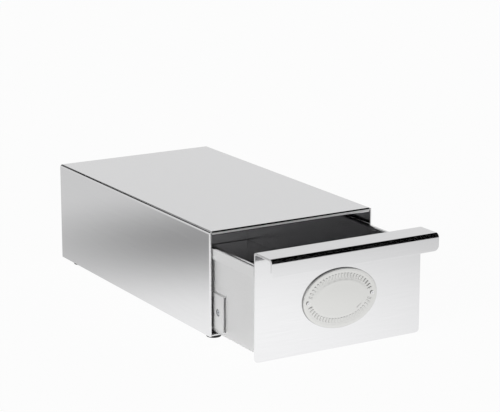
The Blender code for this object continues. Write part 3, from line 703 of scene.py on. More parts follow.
def finish_faces(piece, material_name, test):
    """Gives the faces that pass a test a second finish."""
    piece.data.materials.append(bpy.data.materials[material_name])
    for face in piece.data.polygons:
        if test(face):
            face.material_index = 1


def seat_copies(source, first_name, outward, head_height, body, slot, material_name):
    """Puts a copy of a fastener where the frame has each of its own, heads facing outward."""
    outward = Vector(outward)
    turn = turn_from_z(outward).to_matrix().to_4x4()
    for node in nodes_named(first_name):
        low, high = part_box(node)
        seat = (low + high) / 2
        for i in range(3):
            if outward[i] > 0:
                seat[i] = high[i] - head_height
            elif outward[i] < 0:
                seat[i] = low[i] + head_height
        piece = copy_to(source, "fine_" + node, Matrix.Translation(seat) @ turn)
        hand_over(piece, body, slot, material_name, node)
    bpy.data.objects.remove(source, do_unlink=True)


def nodes_named(first_name):
    """The frame's nodes whose names start alike."""
    return sorted(name for name in frame["nodes"] if name.startswith(first_name))


# Nodes and colours

WHITE = "FFFFFF"
METAL = 1.0
# How much of a matt metal skin's light is mirrored as metal does
MATT_METAL = 0.15

# A Mix node has sockets of one name for each kind of value, so they go by number
SHARE = 0
NUMBER_A, NUMBER_B, NUMBER_OUT = 2, 3, 0
COLOUR_A, COLOUR_B, COLOUR_OUT = 6, 7, 2

# Noise seldom leaves this range
NOISE_LOW, NOISE_HIGH = 0.3, 0.7

# The grain: its strokes' length in widths, its darkest shade of the colour, how much fine noise
# is in it and how strong that is, and its relief
STROKE_LENGTH = 60
STROKE_SHADE = 0.90
STROKE_DETAIL = 3.0
STROKE_CONTRAST = 0.6
STROKE_DEPTH = 0.05 * MM
STROKE_BUMP = 0.02
WAVE_DEPTH = 0.06 * MM

# A moulded or blasted skin: its darkest shade of the colour, how much fine noise is in it, how
# far it varies the sheen, and its relief
SKIN_SHADE = 0.85
SKIN_DETAIL = 2.0
SKIN_SPREAD = 0.06
SKIN_DEPTH = 0.1 * MM
SKIN_BUMP = 0.15


def linear_colour(hex_colour, shade=1.0):
    """A linear colour from an sRGB hex value, by the standard's own numbers, or a darker one."""
    channels = [int(hex_colour[place:place + 2], 16) / 255 for place in (0, 2, 4)]
    linear = [c / 12.92 if c <= 0.04045 else ((c + 0.055) / 1.055) ** 2.4 for c in channels]
    return (*[c * shade for c in linear], 1.0)


def add_node(tree, kind, inputs=None, **options):
    """Adds a node, sets its options, and links or sets its inputs by name or number."""
    node = tree.nodes.new(kind)
    for option, value in options.items():
        setattr(node, option, value)
    for socket, value in (inputs or {}).items():
        if isinstance(value, bpy.types.NodeSocket):
            tree.links.new(value, node.inputs[socket])
        else:
            node.inputs[socket].default_value = value
    return node


def new_material(name):
    """A material with nothing but its output and a Principled shader."""
    material = bpy.data.materials.new(name)
    material.use_nodes = True
    tree = material.node_tree
    tree.nodes.clear()
    shader = add_node(tree, "ShaderNodeBsdfPrincipled")
    add_node(tree, "ShaderNodeOutputMaterial", {"Surface": shader.outputs["BSDF"]})
    return material, tree, shader


def grained_steel(name, colour, roughness, grain_axis, spread=0.03):
    """Metal sheet ground with a belt along one axis.

    The grain's fine strokes blur what the sheet mirrors and break its highlights a little.
    Real strokes are about 0.1 mm wide, too fine to show, so they are drawn coarser.
    Rolling leaves the sheet very slightly wavy, which bends what it mirrors.
    """
    finish = settings("finish")
    material, tree, shader = new_material(name)
    width = finish.grain_width
    scale = [1 / width] * 3
    scale["XYZ".index(grain_axis)] = 1 / (width * STROKE_LENGTH)
    place = add_node(tree, "ShaderNodeTexCoord")
    stretched = add_node(tree, "ShaderNodeMapping", {
        "Vector": place.outputs["Object"], "Scale": scale})
    strokes = add_node(tree, "ShaderNodeTexNoise", {
        "Vector": stretched.outputs["Vector"], "Scale": 1.0, "Detail": STROKE_DETAIL,
        "Roughness": STROKE_CONTRAST})
    waves = add_node(tree, "ShaderNodeTexNoise", {
        "Vector": place.outputs["Object"], "Scale": 1 / finish.sheet_wave, "Detail": 1.0})
    tint = add_node(tree, "ShaderNodeMix", {
        SHARE: strokes.outputs["Fac"], COLOUR_A: linear_colour(colour, STROKE_SHADE),
        COLOUR_B: linear_colour(colour)}, data_type="RGBA")
    tree.links.new(tint.outputs[COLOUR_OUT], shader.inputs["Base Color"])
    shader.inputs["Metallic"].default_value = METAL
    rough = add_node(tree, "ShaderNodeMapRange", {
        "Value": strokes.outputs["Fac"], "From Min": NOISE_LOW, "From Max": NOISE_HIGH,
        "To Min": roughness - spread, "To Max": roughness + spread})
    tree.links.new(rough.outputs["Result"], shader.inputs["Roughness"])
    rolled = add_node(tree, "ShaderNodeBump", {
        "Strength": 1.0, "Distance": WAVE_DEPTH, "Height": waves.outputs["Fac"]})
    ground = add_node(tree, "ShaderNodeBump", {
        "Strength": STROKE_BUMP, "Distance": STROKE_DEPTH, "Height": strokes.outputs["Fac"],
        "Normal": rolled.outputs["Normal"]})
    tree.links.new(ground.outputs["Normal"], shader.inputs["Normal"])
    return material


def blasted_sheet(name, colour, speckle):
    """Sheet blasted with fine beads or ground matt: it scatters light evenly and hardly mirrors.

    As pure metal it would still mirror the dark around it, so most of it is a scattering body.
    Real bead marks are about 0.1 mm wide, too fine to show, so they are drawn coarser.
    """
    material = moulded(name, colour, roughness=0.50, speckle=speckle)
    shader = material.node_tree.nodes["Principled BSDF"]
    shader.inputs["Metallic"].default_value = MATT_METAL
    return material


def moulded(name, colour, roughness, speckle):
    """Moulded rubber or nylon: an even body with a fine, uneven skin.

    The mould's texture is about 0.2 mm wide, too fine to show, so it is drawn coarser.
    """
    material, tree, shader = new_material(name)
    place = add_node(tree, "ShaderNodeTexCoord")
    skin = add_node(tree, "ShaderNodeTexNoise", {
        "Vector": place.outputs["Object"], "Scale": 1 / speckle, "Detail": SKIN_DETAIL})
    tint = add_node(tree, "ShaderNodeMix", {
        SHARE: skin.outputs["Fac"], COLOUR_A: linear_colour(colour, SKIN_SHADE),
        COLOUR_B: linear_colour(colour)}, data_type="RGBA")
    tree.links.new(tint.outputs[COLOUR_OUT], shader.inputs["Base Color"])
    rough = add_node(tree, "ShaderNodeMapRange", {
        "Value": skin.outputs["Fac"], "From Min": NOISE_LOW, "From Max": NOISE_HIGH,
        "To Min": roughness - SKIN_SPREAD, "To Max": roughness + SKIN_SPREAD})
    tree.links.new(rough.outputs["Result"], shader.inputs["Roughness"])
    relief = add_node(tree, "ShaderNodeBump", {
        "Strength": SKIN_BUMP, "Distance": SKIN_DEPTH, "Height": skin.outputs["Fac"]})
    tree.links.new(relief.outputs["Normal"], shader.inputs["Normal"])
    return material


def finish_slot(slot, material):
    """Puts a material on the frame's pieces that share a slot."""
    for part in frame["record"]["subparts"]:
        if part["material_slot"] == slot:
            mesh = frame["nodes"][part["node"]].data
            mesh.materials.clear()
            mesh.materials.append(material)


class KNOCKDRAWER_OT_finishes(bpy.types.Operator):
    """Give every piece of the frame its finish"""
    bl_idname = "knock_drawer.finishes"
    bl_label = "Finishes"

    def execute(self, context):
        finish = settings("finish")
        # Polished stainless steel: a clear mirror, a little blurred along its grain, with faint
        # streaks. The grain runs along the cabinet, and across the front and rear panels.
        finish_slot("polished_steel", grained_steel(
            "polished_stainless_along", finish.steel_colour, roughness=0.11, grain_axis="Y"))
        grained_steel("polished_stainless_across", finish.steel_colour, roughness=0.11,
                      grain_axis="X")
        # Half-polished stainless steel: a soft mirror, in which the bin's inside looks deep and dark
        grained_steel("half_polished_stainless", finish.steel_colour, roughness=0.20,
                      grain_axis="Y")
        # Satin stainless steel, brushed: a broad, even sheen with no clear reflection
        finish_slot("folded_steel", grained_steel(
            "brushed_satin_stainless", finish.satin_colour, roughness=0.36, grain_axis="Y",
            spread=0.05))
        # Bead-blasted stainless steel: matt and evenly pale, and darker only in the shade
        blasted_sheet("bead_blasted_stainless", finish.matt_colour, speckle=1.0 * MM)
        # Stainless edges ground matt: a pale line round the cabinet's mouth and on the bin's rim
        blasted_sheet("ground_stainless_edge", finish.edge_colour, speckle=0.6 * MM)
        # Bright zinc plate: cooler and duller than the stainless steel round it
        finish_slot("zinc_steel", grained_steel(
            "bright_zinc_plate", finish.zinc_colour, roughness=0.26, grain_axis="Z", spread=0.05))
        # Moulded black rubber: nearly black, with a dull, slightly uneven skin
        finish_slot("black_rubber", moulded(
            "moulded_black_rubber", finish.rubber_colour, roughness=0.62, speckle=1.2 * MM))
        # Moulded white nylon: creamy and faintly shiny
        finish_slot("white_nylon", moulded(
            "moulded_white_nylon", finish.nylon_colour, roughness=0.45, speckle=1.5 * MM))
        # Pressed stainless plate, satin: slightly greyer than the panel, so its relief reads
        finish_slot("satin_badge", grained_steel(
            "pressed_satin_stainless", finish.badge_colour, roughness=0.18, grain_axis="X",
            spread=0.05))
        return {"FINISHED"}


# Studio

SENSOR_WIDTH = 36.0
FLOOR_ROUGHNESS = 0.5

# How many mirrors a ray may meet before the backdrop starts to fade, and before it is gone
CLEAR_MIRRORS = 1.5
LOST_MIRRORS = 3.0
# Halfway between a ray that has met no matt surface and one that has met one
MATT_MET = 0.5


def band(tree, value, low, high, soft):
    """1 where a value lies between two bounds, falling softly to 0 outside them."""
    rise = add_node(tree, "ShaderNodeMapRange", {
        "Value": value, "From Min": low - soft, "From Max": low + soft},
        interpolation_type="SMOOTHSTEP")
    fall = add_node(tree, "ShaderNodeMapRange", {
        "Value": value, "From Min": high - soft, "From Max": high + soft,
        "To Min": 1.0, "To Max": 0.0}, interpolation_type="SMOOTHSTEP")
    both = add_node(tree, "ShaderNodeMath", {0: rise.outputs["Result"], 1: fall.outputs["Result"]},
                    operation="MULTIPLY")
    return both.outputs["Value"]


def soft_patch(tree, place, middle, reach, inner, outer):
    """One level at a place on the floor, turning softly into another at a distance."""
    apart = add_node(tree, "ShaderNodeVectorMath", {0: place.outputs["Object"], 1: middle},
                     operation="DISTANCE")
    level = add_node(tree, "ShaderNodeMapRange", {
        "Value": apart.outputs["Value"], "From Min": 0.0, "From Max": reach,
        "To Min": inner, "To Max": outer}, interpolation_type="SMOOTHSTEP")
    return level.outputs["Result"]


def first_mirror(tree, path):
    """1 for a ray that has met one mirroring surface only, falling to 0 for one that met three."""
    shallow = add_node(tree, "ShaderNodeMapRange", {
        "Value": path.outputs["Glossy Depth"], "From Min": CLEAR_MIRRORS,
        "From Max": LOST_MIRRORS, "To Min": 1.0, "To Max": 0.0})
    return shallow.outputs["Result"]


class KNOCKDRAWER_OT_stage(bpy.types.Operator):
    """Add the floor, the soft light round it and the camera"""
    bl_idname = "knock_drawer.stage"
    bl_label = "Studio"

    def execute(self, context):
        stage = settings("stage")
        self.make_camera(context, stage)
        self.make_floor(stage)
        self.make_sky(context, stage)
        context.scene.view_settings.view_transform = "Standard"
        return {"FINISHED"}

    def make_camera(self, context, stage):
        """The camera at the photograph's place, level from side to side."""
        bpy.ops.object.camera_add(
            location=stage.camera_place,
            rotation=(math.pi / 2 - stage.camera_tilt, 0.0, -stage.camera_turn))
        camera = context.object
        camera.name = "studio_camera"
        camera.data.lens = stage.camera_lens
        camera.data.sensor_width = SENSOR_WIDTH
        camera.data.sensor_fit = "HORIZONTAL"
        context.scene.camera = camera

    def make_floor(self, stage):
        """A floor of pale paint, nearly white to the camera; metal mirrors it with a painted pool of
        light before the drawer and a painted shade patch at the left.
        """
        bpy.ops.mesh.primitive_plane_add(size=stage.floor_size, location=ORIGIN)
        floor = bpy.context.object
        floor.name = "studio_floor"
        material, tree, shader = new_material("pale_painted_floor")
        shader.inputs["Base Color"].default_value = linear_colour(stage.floor_colour)
        shader.inputs["Roughness"].default_value = FLOOR_ROUGHNESS
        path = add_node(tree, "ShaderNodeLightPath")
        place = add_node(tree, "ShaderNodeTexCoord")
        # Painted light: the floor glows brighter before the drawer than beside it, only where metal
        # mirrors it
        tone = soft_patch(tree, place, stage.bright_place, stage.bright_reach, stage.floor_near,
                          stage.floor_far)
        # Painted shade: a soft dark patch in the floor's glow, which the left side mirrors
        painted_shade = soft_patch(tree, place, stage.painted_shade_place, stage.painted_shade_reach, stage.painted_shade_level,
                          1.0)
        toned = add_node(tree, "ShaderNodeMath", {0: tone, 1: painted_shade}, operation="MULTIPLY")
        mirrored = add_node(tree, "ShaderNodeMix", {
            SHARE: first_mirror(tree, path), NUMBER_A: stage.deep_level,
            NUMBER_B: toned.outputs["Value"]})
        strength = add_node(tree, "ShaderNodeMix", {
            SHARE: path.outputs["Is Camera Ray"], NUMBER_A: mirrored.outputs[NUMBER_OUT],
            NUMBER_B: 1.0})
        glow = add_node(tree, "ShaderNodeEmission", {
            "Color": linear_colour(WHITE), "Strength": strength.outputs[NUMBER_OUT]})
        plainly_seen = add_node(tree, "ShaderNodeMath", {
            0: path.outputs["Is Camera Ray"], 1: path.outputs["Is Glossy Ray"]}, operation="ADD")
        share = add_node(tree, "ShaderNodeMath", {
            0: plainly_seen.outputs["Value"], 1: stage.floor_whiteness}, operation="MULTIPLY")
        mix = add_node(tree, "ShaderNodeMixShader", {
            "Fac": share.outputs["Value"], 1: shader.outputs["BSDF"],
            2: glow.outputs["Emission"]})
        tree.links.new(mix.outputs["Shader"], tree.nodes["Material Output"].inputs["Surface"])
        floor.data.materials.append(material)

    def make_sky(self, context, stage):
        """White to the camera, and in metal a little greyer, with two black flags for its bends.

        Matt surfaces are lit by one softbox on the left and faintly from all round.
        """
        world = bpy.data.worlds.new("studio_sky")
        world.use_nodes = True
        context.scene.world = world
        tree = world.node_tree
        tree.nodes.clear()
        path = add_node(tree, "ShaderNodeLightPath")
        way = add_node(tree, "ShaderNodeTexCoord")
        axes = add_node(tree, "ShaderNodeSeparateXYZ", {"Vector": way.outputs["Generated"]})
        flags = ((stage.lip_flag_low, stage.lip_flag_high, stage.lip_flag_depth),
                 (stage.side_flag_low, stage.side_flag_high, stage.side_flag_depth))
        level = stage.mirror_level
        for low, high, depth in flags:
            covered = depth
            for i in range(3):
                within = band(tree, axes.outputs[i], low[i], high[i], stage.flag_softness)
                covered = add_node(tree, "ShaderNodeMath", {0: within, 1: covered},
                                   operation="MULTIPLY").outputs["Value"]
            open_share = add_node(tree, "ShaderNodeMath", {0: 1.0, 1: covered},
                                  operation="SUBTRACT")
            level = add_node(tree, "ShaderNodeMath", {0: open_share.outputs["Value"], 1: level},
                             operation="MULTIPLY").outputs["Value"]
        undiffused = add_node(tree, "ShaderNodeMath", {
            0: path.outputs["Diffuse Depth"], 1: MATT_MET}, operation="LESS_THAN")
        direct = add_node(tree, "ShaderNodeMath", {
            0: first_mirror(tree, path), 1: undiffused.outputs["Value"]}, operation="MULTIPLY")
        mirrored = add_node(tree, "ShaderNodeMix", {
            SHARE: direct.outputs["Value"], NUMBER_A: stage.deep_level, NUMBER_B: level})
        towards = add_node(tree, "ShaderNodeVectorMath", {
            0: way.outputs["Generated"], 1: Vector(stage.softbox_way).normalized()},
            operation="DOT_PRODUCT")
        softbox = add_node(tree, "ShaderNodeMapRange", {
            "Value": towards.outputs["Value"], "From Min": math.cos(stage.softbox_reach),
            "From Max": math.cos(stage.softbox_core), "To Min": stage.sky_level,
            "To Max": stage.softbox_level}, interpolation_type="SMOOTHSTEP")
        around = add_node(tree, "ShaderNodeMix", {
            SHARE: path.outputs["Is Glossy Ray"], NUMBER_A: softbox.outputs["Result"],
            NUMBER_B: mirrored.outputs[NUMBER_OUT]})
        seen = add_node(tree, "ShaderNodeMix", {
            SHARE: path.outputs["Is Camera Ray"], NUMBER_A: around.outputs[NUMBER_OUT],
            NUMBER_B: 1.0})
        light = add_node(tree, "ShaderNodeBackground", {
            "Color": linear_colour(WHITE), "Strength": seen.outputs[NUMBER_OUT]})
        add_node(tree, "ShaderNodeOutputWorld", {"Surface": light.outputs["Background"]})


# Cabinet

class KNOCKDRAWER_OT_shell(bpy.types.Operator):
    """Fold the cabinet's shell from one sheet, with a turned-in front edge"""
    bl_idname = "knock_drawer.shell"
    bl_label = "Cabinet shell"

    def execute(self, context):
        sheet = settings("sheet")
        low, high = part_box("cabinet_shell")
        corners = [(low.x, low.z), (low.x, high.z), (high.x, high.z), (high.x, low.z)]
        shell = folded_skin("folded_shell", "Y", low.y, high.y, corners, [sheet.shell_bend] * 2)
        thicken(shell, sheet.shell_gauge, 0.0)
        bite = sheet.shell_gauge / 4
        outer_half = high.x - bite
        outer_top = high.z - bite

        def on_outer_edge(ends):
            return all(near(v.y, low.y) and (abs(v.x) > outer_half or v.z > outer_top)
                       for v in ends)
        soften(shell, "EDGE", on_outer_edge, sheet.front_rounding, CORNER_STEPS)
        ceiling = high.z - sheet.shell_gauge
        hem_low = ceiling - sheet.hem_height
        hem_half = high.x - sheet.shell_bend
        hem = add_box("hem", (-hem_half, low.y, hem_low),
                      (hem_half, low.y + sheet.hem_depth, ceiling + bite))

        def on_hem_edge(ends):
            return all(near(v.y, low.y) and near(v.z, hem_low) for v in ends)
        soften(hem, "EDGE", on_hem_edge, sheet.hem_rounding, EDGE_STEPS)
        combine(shell, hem, "UNION")
        deburr(shell, sheet.cut_edge)
        hand_over(shell, "cabinet", "polished_steel", "polished_stainless_along", "cabinet_shell")
        finish_faces(shell, "ground_stainless_edge", lambda face: (
            face.normal.y < -FACING and near(face.center.y, low.y)))
        return {"FINISHED"}


class KNOCKDRAWER_OT_base(bpy.types.Operator):
    """Fold the bottom plate, and add the rear panel with its two brackets"""
    bl_idname = "knock_drawer.base"
    bl_label = "Bottom, rear and brackets"

    def execute(self, context):
        sheet = settings("sheet")
        low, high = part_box("bottom_plate")
        corners = [(low.y, low.z), (high.y, low.z), (high.y, high.z)]
        plate = folded_skin("folded_bottom_plate", "X", low.x, high.x, corners, [sheet.plate_bend])
        thicken(plate, sheet.plate_gauge, sheet.cut_edge)
        hand_over(plate, "cabinet", "folded_steel", "brushed_satin_stainless", "bottom_plate")
        low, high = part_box("rear_panel")
        panel = add_box("cut_rear_panel", low, high)

        def on_corner(ends):
            return near(ends[0].x, ends[1].x) and near(ends[0].z, ends[1].z)
        soften(panel, "EDGE", on_corner, sheet.rear_corner, CORNER_STEPS)
        deburr(panel, sheet.cut_edge)
        hand_over(panel, "cabinet", "polished_steel", "polished_stainless_across", "rear_panel")
        for node in nodes_named("rear_bracket_"):
            low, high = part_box(node)
            corners = [(high.y, low.z), (high.y, high.z), (low.y, high.z)]
            bracket = folded_skin("folded_" + node, "X", low.x, high.x, corners,
                                  [sheet.plate_bend])
            thicken(bracket, sheet.plate_gauge, sheet.cut_edge)
            hand_over(bracket, "cabinet", "folded_steel", "brushed_satin_stainless", node)
        return {"FINISHED"}


class KNOCKDRAWER_OT_guides(bpy.types.Operator):
    """Fold the two guide channels and add the nylon pads at their front ends"""
    bl_idname = "knock_drawer.guides"
    bl_label = "Guide channels and pads"

    def execute(self, context):
        sheet = settings("sheet")
        for side_name, side in SIDES.items():
            node = "guide_channel_" + side_name
            channel = folded_channel("folded_" + node, node, side, sheet.channel_gauge)
            hand_over(channel, "cabinet", "folded_steel", "brushed_satin_stainless", node)
        for node in nodes_named("glide_pad_"):
            pad = add_box("moulded_" + node, *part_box(node))
            deburr(pad, sheet.cut_edge)
            hand_over(pad, "cabinet", "white_nylon", "moulded_white_nylon", node)
        return {"FINISHED"}


def folded_channel(name, node, side, gauge):
    """A C-shaped run of sheet in a node's box, open towards the middle of the drawer."""
    sheet = settings("sheet")
    low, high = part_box(node)
    outer, inner = (high.x, low.x) if side > 0 else (low.x, high.x)
    corners = [(inner, low.z), (outer, low.z), (outer, high.z), (inner, high.z)]
    channel = folded_skin(name, "Y", low.y, high.y, corners, [sheet.slide_bend] * 2,
                          EDGE_STEPS)
    thicken(channel, gauge, 0.0, -side)
    return channel


class KNOCKDRAWER_OT_feet(bpy.types.Operator):
    """Mould the four rubber feet"""
    bl_idname = "knock_drawer.feet"
    bl_label = "Feet"

    def execute(self, context):
        turned = settings("turned")
        gap = settings("sheet").fit_gap
        for corner in ("front_left", "front_right", "rear_left", "rear_right"):
            node = "foot_" + corner
            low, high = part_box(node)
            middle = (low + high) / 2
            radius = (high.x - low.x) / 2
            foot = add_round_bar("moulded_" + node, (middle.x, middle.y, low.z),
                                 (middle.x, middle.y, high.z), radius, FOOT_SIDES)
            soften(foot, "EDGE", level_at(low.z), turned.foot_edge, EDGE_STEPS)
            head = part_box("foot_screw_" + corner)
            recess = (head[1].x - head[0].x) / 2 + gap
            under = Vector((middle.x, middle.y, low.z))
            through = 2 * high.z + gap
            drill(foot, [under], UP, recess, 2 * turned.foot_recess)
            drill(foot, [under], UP, turned.shank_radius + gap, through)
            shade_bends(foot)
            hand_over(foot, "cabinet", "black_rubber", "moulded_black_rubber", node)
        return {"FINISHED"}


class KNOCKDRAWER_OT_screws(bpy.types.Operator):
    """Turn the screws, pins and nuts"""
    bl_idname = "knock_drawer.screws"
    bl_label = "Screws, pins and nuts"

    def execute(self, context):
        turned = settings("turned")
        finish = ("zinc_steel", "bright_zinc_plate")
        rear = model_screw("rear_screw", "rear_screw_upper_left", "Y", turned.head_height,
                           turned.shank_radius, crown_share=0.7,
                           socket_radius=turned.socket_radius, socket_depth=turned.socket_depth)
        seat_copies(rear, "rear_screw_", (0, 1, 0), turned.head_height, "cabinet", *finish)
        foot = model_screw("foot_screw", "foot_screw_front_left", "Z", turned.foot_head_height,
                           turned.shank_radius, crown_share=0.3,
                           socket_radius=turned.socket_radius,
                           socket_depth=turned.foot_socket_depth)
        seat_copies(foot, "foot_screw_", (0, 0, -1), turned.foot_head_height, "cabinet",
                    *finish)
        for side_name, side in SIDES.items():
            rail = model_screw("rail_screw", "rail_screw_left_1", "X",
                               turned.rail_head_height, turned.shank_radius, crown_share=0.6,
                               socket_radius=turned.socket_radius,
                               socket_depth=turned.socket_depth)
            seat_copies(rail, "rail_screw_" + side_name, (side, 0, 0), turned.rail_head_height,
                        "drawer", *finish)
        pin = model_screw("badge_pin", "badge_pin_left", "Y", turned.pin_head_height,
                          turned.pin_shank_radius, crown_share=0.25,
                          socket_radius=turned.pin_hole_radius,
                          socket_depth=turned.socket_depth)
        seat_copies(pin, "badge_pin_", (0, -1, 0), turned.pin_head_height, "drawer",
                    "polished_steel", "polished_stainless_along")
        self.make_nuts()
        return {"FINISHED"}

    def make_nuts(self):
        """The hexagon nuts on the front panel's studs."""
        sheet = settings("sheet")
        for node in nodes_named("panel_nut_"):
            low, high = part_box(node)
            middle = (low + high) / 2
            flat_radius = min(high.x - low.x, high.z - low.z) / 2
            corner_radius = flat_radius / math.cos(math.pi / HEXAGON)
            nut = add_round_bar("hexagon_" + node, (middle.x, low.y, middle.z),
                                (middle.x, high.y, middle.z), corner_radius, HEXAGON)
            deburr(nut, settings("turned").nut_edge, CHAMFER)
            drill(nut, [middle], (0.0, 1.0, 0.0), sheet.stud_radius + sheet.fit_gap,
                  2 * (high.y - low.y))
            shade_bends(nut)
            hand_over(nut, "drawer", "zinc_steel", "bright_zinc_plate", node)


# Drawer

class KNOCKDRAWER_OT_front(bpy.types.Operator):
    """Fold the drawer's front panel over into its wide pull lip"""
    bl_idname = "knock_drawer.front"
    bl_label = "Front panel and lip"

    def execute(self, context):
        sheet = settings("sheet")
        low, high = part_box("front_panel")
        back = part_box("drawer_frame")[0].y - sheet.fit_gap
        flange_low = high.z - sheet.lip_drop
        corners = [(back, low.z), (back, high.z), (low.y, high.z), (low.y, flange_low)]
        front = folded_skin("folded_front_panel", "X", low.x, high.x, corners,
                            [sheet.panel_back_bend, sheet.lip_bend])
        soften(front, "VERT", level_at(low.z), sheet.panel_corner, CORNER_STEPS)
        soften(front, "VERT", level_at(flange_low), sheet.lip_corner, CORNER_STEPS)
        thicken(front, sheet.panel_gauge, sheet.panel_edge)
        studs = []
        for node in nodes_named("panel_nut_"):
            nut_low, nut_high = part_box(node)
            middle = (nut_low + nut_high) / 2
            root = Vector((middle.x, back - sheet.panel_gauge / 2, middle.z))
            end = Vector((middle.x, high.y, middle.z))
            studs.append(add_round_bar("stud", root, end, sheet.stud_radius, STUD_SIDES))
        combine(front, join_all("studs", studs), "UNION")
        shade_bends(front)
        hand_over(front, "drawer", "polished_steel", "polished_stainless_across", "front_panel")
        return {"FINISHED"}


class KNOCKDRAWER_OT_frame(bpy.types.Operator):
    """Fold the drawer frame, an open box with a lower front"""
    bl_idname = "knock_drawer.frame"
    bl_label = "Drawer frame"

    def execute(self, context):
        sheet = settings("sheet")
        low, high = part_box("drawer_frame")
        gauge = Vector((sheet.frame_gauge,) * 3)
        inner_high = Vector((high.x - gauge.x, high.y - gauge.y, high.z))
        carriage = rounded_pan("folded_drawer_frame", low + gauge, inner_high, sheet.frame_corner,
                               sheet.frame_floor_bend)
        thicken(carriage, sheet.frame_gauge, 0.0, -1.0)
        bin_low, bin_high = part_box("waste_bin")
        notch_low = bin_high.z - sheet.rim_drop - sheet.notch_below_rim
        notch_back = bin_low.y + sheet.bin_corner + sheet.rim_width
        notch = add_box("notch", (low.x - CUT_PAST, low.y - CUT_PAST, notch_low),
                        (high.x + CUT_PAST, notch_back, high.z + CUT_PAST))
        combine(carriage, notch, "DIFFERENCE")
        deburr(carriage, sheet.cut_edge / 2)
        hand_over(carriage, "drawer", "folded_steel", "bead_blasted_stainless", "drawer_frame")
        return {"FINISHED"}


class KNOCKDRAWER_OT_bin(bpy.types.Operator):
    """Fold the waste bin, with its rim turned out and down"""
    bl_idname = "knock_drawer.bin"
    bl_label = "Waste bin"

    def execute(self, context):
        sheet = settings("sheet")
        low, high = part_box("waste_bin")
        rim = sheet.rim_width
        inner_low = Vector((low.x + rim, low.y + rim, low.z + sheet.bin_gauge))
        inner_high = Vector((high.x - rim, high.y - rim, high.z))
        waste_bin = rounded_pan("folded_waste_bin", inner_low, inner_high, sheet.bin_corner,
                                sheet.bin_floor_bend, rim, sheet.rim_drop, sheet.rim_bend)
        thicken(waste_bin, sheet.bin_gauge, sheet.cut_edge / 2, -1.0)
        hand_over(waste_bin, "drawer", "polished_steel", "half_polished_stainless", "waste_bin")
        finish_faces(waste_bin, "ground_stainless_edge", lambda face: (
            abs(face.normal.x) > FACING and near(abs(face.center.x), high.x)))
        return {"FINISHED"}


class KNOCKDRAWER_OT_rails(bpy.types.Operator):
    """Fold the slide rails with their screw dimples, and mould the shoes behind them"""
    bl_idname = "knock_drawer.rails"
    bl_label = "Slide rails and shoes"

    def execute(self, context):
        sheet = settings("sheet")
        turned = settings("turned")
        for side_name, side in SIDES.items():
            node = "slide_rail_" + side_name
            low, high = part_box(node)
            rail = folded_channel("folded_" + node, node, side, sheet.rail_gauge)
            outer, inner = (high.x, low.x) if side > 0 else (low.x, high.x)
            screws = nodes_named("rail_screw_" + side_name)
            spots = []
            for screw in screws:
                screw_low, screw_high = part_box(screw)
                spot = (screw_low + screw_high) / 2
                spot.x = outer
                spots.append(spot)
            middle_of_sheet = outer - side * sheet.rail_gauge / 2
            dimples = [add_round_bar("dimple", (middle_of_sheet, spot.y, spot.z),
                                     (inner, spot.y, spot.z), turned.dimple_radius)
                       for spot in spots[:-1]]
            combine(rail, join_all("dimples", dimples), "UNION")
            self.sink_heads(rail, spots[:-1], screws[0])
            deburr(rail, sheet.cut_edge / 2)
            hand_over(rail, "drawer", "folded_steel", "brushed_satin_stainless", node)
            shoe_node = "rail_shoe_" + side_name
            shoe = add_box("moulded_" + shoe_node, *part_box(shoe_node))
            self.sink_heads(shoe, spots[-1:], screws[0])
            deburr(shoe, sheet.cut_edge)
            hand_over(shoe, "drawer", "white_nylon", "moulded_white_nylon", shoe_node)
        return {"FINISHED"}

    def sink_heads(self, piece, spots, screw):
        """Sinks the screws' heads into a face, with clear holes for their shanks.

        The clearance round a head is double, so that it draws a fine dark ring.
        """
        turned = settings("turned")
        gap = settings("sheet").fit_gap
        low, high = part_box(screw)
        across = (1.0, 0.0, 0.0)
        sink = turned.rail_head_height + turned.rail_head_room + gap
        through = 4 * (high.x - low.x)
        drill(piece, spots, across, (high.z - low.z) / 2 + 2 * gap, 2 * sink)
        drill(piece, spots, across, turned.shank_radius + gap, through)


